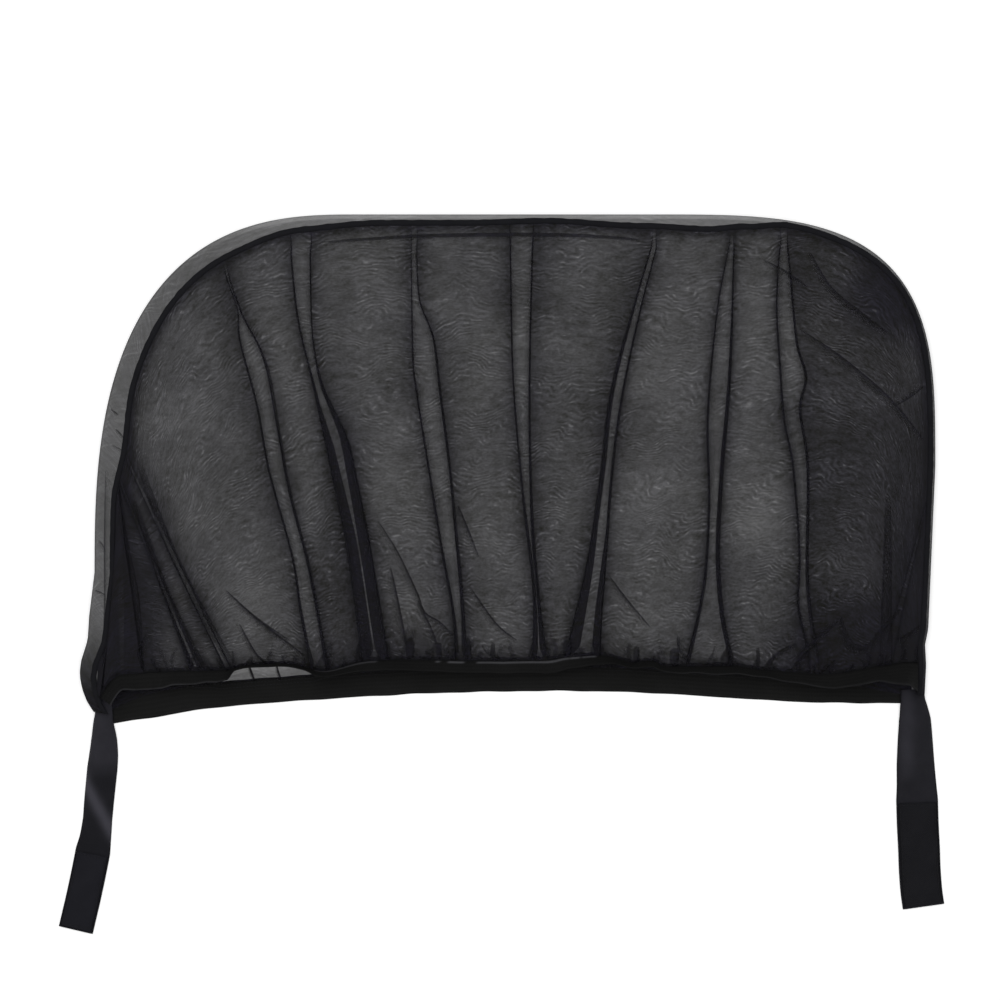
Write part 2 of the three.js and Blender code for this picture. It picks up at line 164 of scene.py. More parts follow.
class Route:
    """A line through points in the plane, measured along its length."""

    def __init__(self, points: Array) -> None:
        """Keeps the points and measures them.

        Args:
            points: The line's points, one a row, in millimetres.
        """
        self.points = np.asarray(points, float)
        self.lengths = run_along(self.points)
        self.length = float(self.lengths[-1])

    def at(self, share: Array) -> Array:
        """Points at shares of the way along."""
        wanted = np.clip(np.asarray(share, float), 0.0, 1.0) * self.length
        return np.stack([np.interp(wanted, self.lengths, self.points[:, k]) for k in (0, 1)], -1)

    def side(self, share: Array, reach: float = 0.004) -> Array:
        """Unit vectors to the right of the way along, taken over a short stretch."""
        along = unit(self.at(np.asarray(share) + reach) - self.at(np.asarray(share) - reach))
        return np.stack([along[..., 1], -along[..., 0]], -1)

    def y_at(self, x: Array) -> Array:
        """Heights of a line that runs along X."""
        return np.interp(x, self.points[:, 0], self.points[:, 1])


@dataclass(frozen=True)
class Wave:
    """Uneven waves, the same each run: their mean length in millimetres, their height and what picks them."""

    pitch: float
    height: float
    seed: int

    def along(self, spot: Array) -> Array:
        """The waves along a line, at places along it in millimetres."""
        count, longest, evened = 7, 1.9, 1.3
        rng = np.random.default_rng(self.seed)
        total = np.zeros_like(np.asarray(spot, float))
        for _ in range(count):
            length = self.pitch * rng.uniform(0.6, longest)
            total += np.sin(2 * np.pi * (spot / length + rng.uniform()))
        return total / math.sqrt(count) / evened * self.height

    def over(self, points: Array) -> Array:
        """The waves over a surface, at its points in millimetres."""
        count, longest, evened = 12, 2.2, 1.2
        x, y = points[..., 0], points[..., 1]
        rng = np.random.default_rng(self.seed)
        total = np.zeros_like(x)
        for _ in range(count):
            length, turn = self.pitch * rng.uniform(0.6, longest), rng.uniform(0, 2 * np.pi)
            total += np.sin(2 * np.pi * ((x * np.cos(turn) + y * np.sin(turn)) / length + rng.uniform()))
        return total / math.sqrt(count) / evened * self.height


# -------------------------------------------------------------------------------------- shader nodes


class Wire:
    """One output socket, with the arithmetic that adds Math nodes."""

    def __init__(self, board: "Board", socket: Optional[bpy.types.NodeSocket]) -> None:
        """Keeps the socket and the board that it is on."""
        self.board = board
        self.socket = socket

    def _math(self, operation: str, *values: Union["Wire", Number]) -> "Wire":
        """Adds one Math node on the values."""
        inputs = {index: value for index, value in enumerate(values)}
        return self.board.add("ShaderNodeMath", {"operation": operation}, inputs)

    def __add__(self, other: Union["Wire", Number]) -> "Wire":
        """Sum."""
        return self._math("ADD", self, other)

    __radd__ = __add__

    def __sub__(self, other: Union["Wire", Number]) -> "Wire":
        """Difference."""
        return self._math("SUBTRACT", self, other)

    def __rsub__(self, other: Union["Wire", Number]) -> "Wire":
        """Difference from a number."""
        return self._math("SUBTRACT", other, self)

    def __mul__(self, other: Union["Wire", Number]) -> "Wire":
        """Product."""
        return self._math("MULTIPLY", self, other)

    __rmul__ = __mul__

    def __pow__(self, other: Union["Wire", Number]) -> "Wire":
        """Power."""
        return self._math("POWER", self, other)

    def sine(self) -> "Wire":
        """Sine of the value."""
        return self._math("SINE", self)

    def waves(self, pitch: float) -> "Wire":
        """Sine waves of a pitch along a place in millimetres."""
        return (self * (2 * math.pi / pitch)).sine()

    def clamped(self, low: float = 0.0, high: float = 1.0) -> "Wire":
        """The value held between two limits."""
        return self._math("MINIMUM", self._math("MAXIMUM", self, low), high)

    def above(self, edge: float, soft: float) -> "Wire":
        """Soft threshold: 0 below edge - soft and 1 above edge + soft."""
        settings = {"interpolation_type": "SMOOTHSTEP"}
        inputs = {"Value": self, "From Min": edge - soft, "From Max": edge + soft}
        return self.board.add("ShaderNodeMapRange", settings, inputs)


class Board:
    """The node tree of one material."""

    def __init__(self, name: str) -> None:
        """Makes an empty material.

        Args:
            name: The material's name.
        """
        self.material = bpy.data.materials.new(name)
        self.material.use_nodes = True
        self.tree = self.material.node_tree
        self.tree.nodes.clear()

    def add(
        self,
        kind: str,
        settings: Optional[dict[str, Any]] = None,
        inputs: Optional[dict[Union[int, str], Any]] = None,
        output: Union[int, str] = 0,
    ) -> Wire:
        """Adds a node of any type.

        Args:
            kind: The node's type.
            settings: Its own settings.
            inputs: Values or wires of its sockets, by name or number.
            output: The socket that is handed back.

        Returns:
            The output socket, wrapped.
        """
        node = self.tree.nodes.new(kind)
        for key, value in (settings or {}).items():
            setattr(node, key, value)
        for key, value in (inputs or {}).items():
            if isinstance(value, Wire):
                self.tree.links.new(value.socket, node.inputs[key])
            else:
                node.inputs[key].default_value = value
        return Wire(self, node.outputs[output] if len(node.outputs) else None)

    def vector(self, operation: str, place: Wire, by: tuple[float, float, float]) -> Wire:
        """Adds one Vector Math node on a place."""
        return self.add("ShaderNodeVectorMath", {"operation": operation}, {0: place, 1: by})

    def object_place(self) -> Wire:
        """Object coordinates in millimetres."""
        place = self.add("ShaderNodeTexCoord", output="Object")
        return self.vector("MULTIPLY", place, (1 / MM, 1 / MM, 1 / MM))

    def cloth_place(self) -> Wire:
        """The piece's own cloth coordinates in millimetres."""
        return self.add("ShaderNodeUVMap", {"uv_map": "cloth"})

    def axis(self, vector: Wire, name: str) -> Wire:
        """One component of a vector."""
        return self.add("ShaderNodeSeparateXYZ", {}, {0: vector}, name)

    def noise(self, vector: Wire, scale: float, detail: float = 2.0, rough: float = 0.5) -> Wire:
        """Noise from 0 to 1."""
        inputs = {"Vector": vector, "Scale": scale, "Detail": detail, "Roughness": rough}
        return self.add("ShaderNodeTexNoise", {}, inputs)

    def mixed(self, factor: Wire, low: Union[Wire, Sequence[float]], high: Sequence[float]) -> Wire:
        """Mix of two colours, the lower of which may come from other nodes."""
        start = low if isinstance(low, Wire) else (*low, 1.0)
        inputs = {"Factor": factor, 6: start, 7: (*high, 1.0)}
        return self.add("ShaderNodeMix", {"data_type": "RGBA"}, inputs, 2)

    def attribute(self, name: str) -> Wire:
        """A number that the mesh carries at its points."""
        settings = {"attribute_type": "GEOMETRY", "attribute_name": name}
        return self.add("ShaderNodeAttribute", settings, {}, "Fac")

    def bump(self, height: Wire, strength: float, distance: float) -> Wire:
        """Normal of a height that is given in shares of a distance in millimetres."""
        inputs = {"Strength": strength, "Distance": distance * MM, "Height": height}
        return self.add("ShaderNodeBump", {}, inputs)

    def finish(self, **sockets: Any) -> bpy.types.Material:
        """Closes the tree with the surface shader.

        Args:
            sockets: Values or wires of the shader's sockets, spaces written as underscores.

        Returns:
            The material.
        """
        inputs = {key.replace("_", " "): value for key, value in sockets.items()}
        shader = self.add("ShaderNodeBsdfPrincipled", {}, inputs)
        self.add("ShaderNodeOutputMaterial", {"target": "ALL"}, {"Surface": shader})
        return self.material


@dataclass(frozen=True)
class SheerMesh:
    """Sheer knitted polyester mesh: its fine knit, the arcs where two layers beat, light flecks and dense folds."""

    name: str
    alpha: float
    dark_tint: tuple[float, float, float] = (0.0066, 0.0064, 0.0044)
    light_tint: tuple[float, float, float] = (0.0146, 0.0138, 0.0215)
    grain_pitch: float = 2.1
    arc_pitch: float = 5.6
    contrast: float = 1.0
    seed: float = 0.0
    squeeze: tuple[float, float, float] = (0.55, 1.0, 1.0)
    grain_weight: float = 2.6
    mottle_weight: float = 2.2
    patch_weight: float = 1.3
    weave_depth: float = 0.12
    fleck_depth: float = 0.20
    alpha_limits: tuple[float, float] = (0.05, 0.985)

    def made(self) -> bpy.types.Material:
        """Builds the material."""
        board = Board(self.name)
        shift = board.vector("ADD", board.cloth_place(), (self.seed, self.seed, 0.0))
        squeezed = board.vector("MULTIPLY", shift, self.squeeze)
        along = board.axis(shift, "Y")
        drift = board.noise(shift, 0.017, 1.0) * 60.0 + board.noise(shift, 0.055, 1.0) * 16.0
        arcs = (along + drift).waves(self.arc_pitch)
        where = board.noise(shift, 0.028, 2.0).above(0.50, 0.10)
        grain = board.noise(squeezed, 1 / self.grain_pitch, 3.0, 0.65) - 0.5
        patch = board.noise(shift, 0.014, 2.0) - 0.5
        speck = board.noise(squeezed, 0.19, 2.0, 0.5).above(0.60, 0.045)
        fleck = arcs.above(0.62, 0.25) * speck * where
        mottle = board.noise(squeezed, 0.13, 2.0, 0.6) - 0.5
        weave = arcs * (where * 0.34 + 0.05) + grain * self.grain_weight
        weave = weave + mottle * self.mottle_weight + patch * self.patch_weight
        opening = (weave * self.weave_depth + fleck * self.fleck_depth) * self.contrast
        alpha = (self.alpha - opening).clamped(*self.alpha_limits)
        solid = 1 - (1 - alpha) ** board.attribute("layers")
        tone = (weave * 0.55 + 0.5 + fleck * 0.6).clamped()
        return board.finish(
            Base_Color=board.mixed(tone, self.dark_tint, self.light_tint),
            Roughness=0.75,
            Alpha=solid,
            Specular_IOR_Level=0.06,
            Normal=board.bump(grain + arcs * 0.1, 0.3, 0.15),
        )


@dataclass(frozen=True)
class BindingTape:
    """Narrow woven binding, folded over the seam and sewn down."""

    name: str = "binding_tape"
    colour: tuple[float, float, float] = (0.0055, 0.0055, 0.0070)
    worn: tuple[float, float, float] = (0.0130, 0.0130, 0.0160)
    rib_pitch: float = 1.1

    def made(self) -> bpy.types.Material:
        """Builds the material."""
        board = Board(self.name)
        cloth = board.cloth_place()
        along, around = board.axis(cloth, "X"), board.axis(cloth, "Y")
        ribs, threads = along.waves(self.rib_pitch), around.waves(self.rib_pitch * 0.6)
        wear = board.noise(cloth, 0.06, 3.0)
        tone = (wear * 0.9 + ribs * 0.14 - 0.1).clamped()
        return board.finish(
            Base_Color=board.mixed(tone, self.colour, self.worn),
            Roughness=(0.62 + wear * 0.2).clamped(),
            Specular_IOR_Level=0.08,
            Normal=board.bump(ribs * 0.6 + threads * 0.4, 0.6, 0.2),
        )


@dataclass(frozen=True)
class RibbedElastic:
    """Knitted elastic: crosswise ribs over lengthwise rubber strands, with a painted highlight where the piece carries
    one.
    """

    name: str
    colour: tuple[float, float, float]
    worn: tuple[float, float, float]
    # Colour of the painted highlight
    light: tuple[float, float, float] = (0.11, 0.11, 0.12)
    rib_pitch: float = 1.5
    strand_pitch: float = 4.2

    def made(self) -> bpy.types.Material:
        """Builds the material."""
        board = Board(self.name)
        cloth = board.cloth_place()
        along, across = board.axis(cloth, "X"), board.axis(cloth, "Y")
        ribs, strands = along.waves(self.rib_pitch), across.waves(self.strand_pitch)
        wear = board.noise(cloth, 0.02, 3.0)
        fine = board.noise(cloth, 0.5, 2.0)
        tone = (wear * 0.75 + fine * 0.25 + ribs * 0.09 + strands * 0.1 - 0.02).clamped()
        plain = board.mixed(tone, self.colour, self.worn)
        # Painted highlight, read from the piece's points
        painted_highlight = (board.attribute("painted_highlight") * (0.7 + fine * 0.6)).clamped()
        return board.finish(
            Base_Color=board.mixed(painted_highlight, plain, self.light),
            Roughness=(0.6 + fine * 0.25).clamped(),
            Specular_IOR_Level=0.06,
            Normal=board.bump(ribs * 0.5 + strands * 0.5, 0.55, 0.3),
        )


@dataclass(frozen=True)
class Webbing:
    """Woven webbing, with a painted sheen where it folds over."""

    name: str = "strap_webbing"
    colour: tuple[float, float, float] = (0.0085, 0.0085, 0.0110)
    # Light end of the colour: random blotches and the painted sheen
    sheen: tuple[float, float, float] = (0.0470, 0.0455, 0.0570)
    weave_pitch: float = 1.7

    def made(self) -> bpy.types.Material:
        """Builds the material."""
        board = Board(self.name)
        cloth = board.cloth_place()
        along, across = board.axis(cloth, "X"), board.axis(cloth, "Y")
        weave = (along + across).waves(self.weave_pitch) * 0.5 + (along - across).waves(self.weave_pitch) * 0.5
        blotch = board.noise(cloth, 0.05, 3.0)
        # Painted sheen, which the strap's points carry
        glow = board.attribute("glow")
        tone = (glow + blotch * 0.3 + weave * 0.07 - 0.12).clamped()
        return board.finish(
            Base_Color=board.mixed(tone, self.colour, self.sheen),
            Roughness=(0.68 - glow * 0.2 + blotch * 0.12).clamped(0.3, 0.95),
            Specular_IOR_Level=0.1,
            Normal=board.bump(weave, 0.6, 0.3),
        )


@dataclass(frozen=True)
class PileTape:
    """Hook or loop tape: a dense short pile between plain edges."""

    name: str
    colour: tuple[float, float, float]
    tip: tuple[float, float, float]
    tuft_pitch: float

    def made(self) -> bpy.types.Material:
        """Builds the material."""
        board = Board(self.name)
        cloth = board.cloth_place()
        along, across = board.axis(cloth, "X"), board.axis(cloth, "Y")
        wander = board.noise(cloth, 0.35, 2.0) * 1.6
        pile = (along + wander).waves(self.tuft_pitch) * (across + wander).waves(self.tuft_pitch)
        fuzz = board.noise(cloth, 1.3, 3.0, 0.7)
        patch = board.noise(cloth, 0.04, 2.0)
        tone = (pile * 0.2 + fuzz * 0.5 + patch * 0.5 - 0.05).clamped()
        return board.finish(
            Base_Color=board.mixed(tone, self.colour, self.tip),
            Roughness=(0.75 + fuzz * 0.2).clamped(),
            Specular_IOR_Level=0.06,
            Normal=board.bump(pile * 0.5 + fuzz, 0.8, 0.5),
        )


@dataclass(frozen=True)
class Thread:
    """Polyester sewing thread."""

    name: str = "sewing_thread"
    colour: tuple[float, float, float] = (0.008, 0.008, 0.009)
    light: tuple[float, float, float] = (0.026, 0.026, 0.030)

    def made(self) -> bpy.types.Material:
        """Builds the material."""
        board = Board(self.name)
        place = board.object_place()
        twist = ((board.axis(place, "X") + board.axis(place, "Y")) * 9.0).sine()
        patch = board.noise(place, 0.3, 2.0)
        tone = (patch * 0.6 + twist * 0.2 + 0.1).clamped()
        return board.finish(
            Base_Color=board.mixed(tone, self.colour, self.light),
            Roughness=(0.5 + patch * 0.2).clamped(),
            Specular_IOR_Level=0.1,
            Normal=board.bump(twist, 0.4, 0.1),
        )


@dataclass(frozen=True)
class PaleFloor:
    """White sweep that shows white to the camera and keeps the object's shadow."""

    name: str = "pale_floor"
    own_light: float = 0.45
    colour: tuple[float, float, float] = (0.80, 0.80, 0.80)

    def made(self) -> bpy.types.Material:
        """Builds the material."""
        board = Board(self.name)
        place = board.object_place()
        grain = board.noise(place, 0.004, 2.0)
        tone = board.mixed(grain, self.colour, tuple(value + 0.02 for value in self.colour))
        rays = ("Is Camera Ray", "Is Glossy Ray", "Is Transmission Ray")
        camera, glossy, through = (board.add("ShaderNodeLightPath", output=ray) for ray in rays)
        seen = (camera + glossy + through).clamped()
        diffuse = board.add("ShaderNodeBsdfDiffuse", {}, {"Color": tone, "Roughness": 1.0})
        glow = board.add("ShaderNodeEmission", {}, {"Color": (1, 1, 1, 1), "Strength": seen * self.own_light})
        both = board.add("ShaderNodeAddShader", {}, {0: diffuse, 1: glow})
        board.add("ShaderNodeOutputMaterial", {"target": "ALL"}, {"Surface": both})
        return board.material


# ---------------------------------------------------------------------------------------- mesh making


@dataclass
class Grid:
    """A surface as a grid of points, in millimetres, with its cloth coordinates and point values."""

    points: Array
    cloth: Array
    values: dict[str, Array] = field(default_factory=dict)
    flipped: bool = False

    def slopes(self) -> Array:
        """One over the upright part of the surface's normal at each point: how many layers deep it looks."""
        along = np.gradient(self.points, axis=0)
        across = np.gradient(self.points, axis=1)
        normal = np.cross(across, along)
        length = np.maximum(np.linalg.norm(normal, axis=2), 1e-9)
        return 1.0 / np.clip(np.abs(normal[..., 2]) / length, LEAST_UPRIGHT, 1.0)


class Maker:
    """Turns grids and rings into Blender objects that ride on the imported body."""

    @staticmethod
    def placed(points: Array) -> Array:
        """Millimetres of the sock's own plan to metres of the frame."""
        return (points.reshape(-1, 3) + PLACE) * MM

    @classmethod
    def sheet(cls, name: str, grid: Grid) -> bpy.types.Object:
        """Open surface of a grid.

        Args:
            name: The piece's name.
            grid: Its points, cloth coordinates and point values.

        Returns:
            The object.
        """
        rows, columns = grid.points.shape[:2]
        index = np.arange(rows * columns).reshape(rows, columns)
        a, b = index[:-1, :-1], index[:-1, 1:]
        c, d = index[1:, 1:], index[1:, :-1]
        order = (a, d, c, b) if grid.flipped else (a, b, c, d)
        faces = np.stack(order, -1).reshape(-1, 4)
        return cls.built(name, grid.points, faces, grid.cloth, grid.values)

    @classmethod
    def tube(
        cls, name: str, rings: Array, cloth: Array, values: Optional[dict[str, Array]] = None
    ) -> bpy.types.Object:
        """Closed solid through rings of points, with flat caps.

        Args:
            name: The piece's name.
            rings: Rings by points by 3, in millimetres.
            cloth: Cloth coordinates of each ring's points.
            values: Numbers that the mesh carries at its points.

        Returns:
            The object.
        """
        count, sides = rings.shape[:2]
        index = np.arange(count * sides).reshape(count, sides)
        turned = np.roll(index, -1, axis=1)
        faces = np.stack((index[:-1], turned[:-1], turned[1:], index[1:]), -1).reshape(-1, 4)
        obj = cls.built(name, rings, faces, cloth, values or {})
        work = bmesh.new()
        work.from_mesh(obj.data)
        work.verts.ensure_lookup_table()
        work.faces.new([work.verts[k] for k in index[0]])
        work.faces.new([work.verts[k] for k in index[-1]])
        bmesh.ops.recalc_face_normals(work, faces=work.faces)
        work.to_mesh(obj.data)
        work.free()
        return obj

    @classmethod
    def built(
        cls, name: str, points: Array, faces: Array, cloth: Array, values: dict[str, Array]
    ) -> bpy.types.Object:
        """Object with a cloth map and point values.

        Args:
            name: The piece's name.
            points: All points, in millimetres.
            faces: Four point numbers a face.
            cloth: Cloth coordinates of each point, in millimetres.
            values: Numbers by name, one for each point.

        Returns:
            The object, linked into the scene.
        """
        mesh = bpy.data.meshes.new(name)
        mesh.from_pydata(cls.placed(points).tolist(), [], faces.tolist())
        layer = mesh.uv_layers.new(name="cloth")
        corners = np.empty(len(mesh.loops), dtype=np.int32)
        mesh.loops.foreach_get("vertex_index", corners)
        layer.data.foreach_set("uv", cloth.reshape(-1, 2)[corners].ravel())
        for key, value in values.items():
            stored = mesh.attributes.new(key, "FLOAT", "POINT")
            stored.data.foreach_set("value", np.ascontiguousarray(value, dtype=np.float32).ravel())
        mesh.shade_smooth()
        obj = bpy.data.objects.new(name, mesh)
        bpy.context.scene.collection.objects.link(obj)
        return obj

    @staticmethod
    def dressed(
        obj: bpy.types.Object, material: bpy.types.Material, slot: Slot, *nodes: str
    ) -> bpy.types.Object:
        """Gives a piece its material and its body, and hides the nodes that it stands for.

        Args:
            obj: The piece.
            material: Its finish.
            slot: The record's slot that it takes; not used.
            nodes: The CAD nodes that it replaces.

        Returns:
            The piece.
        """
        obj.data.materials.clear()
        obj.data.materials.append(material)
        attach(obj, Body.ROOT.value)
        if nodes:
            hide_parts(*nodes)
        LOG.info("%s: %d faces", obj.name, len(obj.data.polygons))
        return obj


# ------------------------------------------------------------------------------------- the sock's plan


@dataclass(frozen=True)
class Plan:
    """Outline, rim and seam of the sock, in millimetres, from its mouth's left corner."""

    width: float = 857.0
    height: float = 481.0
    left_corner: tuple[float, float, float] = (261.0, 358.0, 2.7)
    right_corner: tuple[float, float, float] = (280.0, 252.0, 3.4)
    left_flare: float = 15.0
    right_taper: float = 10.0
    mesh_thickness: float = 0.6
    rim_radius: float = 4.5
    seam_inset: Pairs = (
        (0, 13), (0.05, 19), (0.12, 19), (0.155, 25), (0.2, 21), (0.31, 20), (0.36, 14), (0.41, 9), (0.46, 9),
        (0.51, 7), (0.57, 12), (0.61, 15), (0.635, 11), (0.66, 5.5), (0.7, 7), (0.75, 5.5), (1, 6),
    )
    binding_width: float = 6.0
    seat_gap: float = 0.3
    sewn_in: float = 0.8
    left_pull: tuple[tuple[float, float, float], ...] = (
        (0, 14, -17), (10, 5.8, -15.9), (20, -0.1, -13), (30, -3.6, -9.8), (40, -3.6, -6.7), (57, 1.2, -1.6),
        (80, 0, 0),
    )
    right_pull: tuple[tuple[float, float, float], ...] = ((0, -0.7, 0), (30, -0.5, 0), (50, -2.5, 0), (66, 0, 0))

    def pulled(self, way: Array, way_back: Array) -> Array:
        """How far the mouth's corners are pulled towards the straps.

        Args:
            way: Way along the outline from the left corner, in millimetres.
            way_back: Way along the outline to the right corner.

        Returns:
            Shifts across and along the table.
        """
        total = np.zeros((*way.shape, 2))
        for table, spot in ((self.left_pull, way), (self.right_pull, way_back)):
            known = np.array(table, float)
            for axis in (0, 1):
                total[..., axis] += np.interp(spot, known[:, 0], known[:, axis + 1])
        return total

    def outline(self) -> Route:
        """The outline, clockwise from the mouth's left corner over the top to its right corner."""
        angle = np.linspace(0.0, np.pi / 2, 161)

        def corner(centre: tuple[float, float], size: tuple[float, float, float], sign: int) -> Array:
            """One rounded corner, from the side up to the top."""
            wide, high, round_ = size
            across = np.abs(np.cos(angle)) ** (2 / round_)
            up = np.abs(np.sin(angle)) ** (2 / round_)
            return np.stack([centre[0] + sign * wide * across, centre[1] + high * up], -1)

        left_x, right_x = self.left_flare + self.left_corner[0], self.width - self.right_corner[0]
        left = corner((left_x, self.height - self.left_corner[1]), self.left_corner, -1)
        right = corner((right_x, self.height - self.right_corner[1]), self.right_corner, 1)
        end = self.width - self.right_taper
        return Route(np.concatenate([[[0.0, 0.0]], left, right[::-1], [[end, 0.0]]]))


PLAN = Plan()
OUTLINE = PLAN.outline()
RIM_ROUND = math.pi * PLAN.rim_radius


def rim_point(station: Array, travel: Array) -> Array:
    """Points of the rim's section: from the flat underside's end, round the half circle and in over the top.

    Args:
        station: Share of the way round the outline.
        travel: Way along the section, in millimetres.

    Returns:
        The points.
    """
    station, travel = np.broadcast_arrays(np.asarray(station, float), np.asarray(travel, float))
    radius = PLAN.rim_radius
    angle = np.clip(travel / radius, 0.0, np.pi)
    inset = radius - radius * np.sin(angle) + np.maximum(travel - RIM_ROUND, 0.0)
    place = OUTLINE.at(station) + OUTLINE.side(station) * inset[..., None]
    place = place + PLAN.pulled(station * OUTLINE.length, (1 - station) * OUTLINE.length)
    high = PLAN.mesh_thickness / 2 + radius - radius * np.cos(angle)
    return np.concatenate([place, high[..., None]], -1)


def seam_travel(station: Array) -> Array:
    """Where the middle of the bound seam lies along the rim's section."""
    inset = table_at(PLAN.seam_inset, station)
    radius = PLAN.rim_radius
    on_round = RIM_ROUND - radius * np.arcsin(np.clip(1 - inset / radius, 0.0, 1.0))
    return np.where(inset >= radius, RIM_ROUND + inset - radius, on_round)


def fullness(share: Array) -> Array:
    """Fullness from 0 at an edge to 1 inside."""
    inside = np.clip(share, 0.0, 1.0)
    return (4 * inside * (1 - inside)) ** 0.4


def oval_rings(
    line: Array, across: Array, up: Array, half: tuple[Array, Array], angle: Array, square: float
) -> Array:
    """Rings of an oval section round a line.

    Args:
        line: The section's middle, one row a ring.
        across: Unit vectors across the section.
        up: Unit vectors up from it.
        half: Half the section's width and half its height at each ring.
        angle: Angles of the ring's points.
        square: 1 for an ellipse, less for a section with fuller sides.

    Returns:
        The rings' points.
    """
    wide, high = half
    out = np.sign(np.cos(angle)) * np.abs(np.cos(angle)) ** square
    return (
        line[:, None]
        + across[:, None] * (out[None, :, None] * wide[:, None, None])
        + up[:, None] * (np.sin(angle)[None, :, None] * high[:, None, None])
    )


# ------------------------------------------------------------------------------------- front panel


@dataclass(frozen=True)
class Pleat:
    """A long pleat from the gathered edge up to the seam.

    left and right are its sides, from the seam down. Each tuck is a share of the way up, and how far the left and
    the right side fold under there. A pleat that ends on the sock's side has its place on the seam as a station.
    """

    left: Line
    right: Line
    height: float
    tucks: tuple[tuple[float, float, float], ...]
    station: Optional[float] = None

    @staticmethod
    def x_at(line: Line, y: float) -> float:
        """Where a side stands at a height on the table."""
        points = spline(np.array(line, float), 12 * len(line))[::-1]
        return float(np.interp(y, points[:, 1], points[:, 0]))

    def middle(self, y: float) -> float:
        """Where the pleat's middle stands."""
        return (self.x_at(self.left, y) + self.x_at(self.right, y)) / 2

    def width(self, y: float) -> float:
        """How wide the pleat is."""
        return max(self.x_at(self.right, y) - self.x_at(self.left, y), 2.4)

    def tuck(self, up: float, side: int) -> float:
        """How far one side folds under, side 1 for the left and 2 for the right."""
        known = np.array(self.tucks, float)
        return float(np.interp(up, known[:, 0], known[:, side]))


@dataclass(frozen=True)
class Shade:
    """A patch of denser cloth, partly where it lies double or bunched and partly painted shade: its middle, its reach
    and the layers that it adds.
    """

    x: float
    y: float
    reach_x: float
    reach_y: float
    layers: float


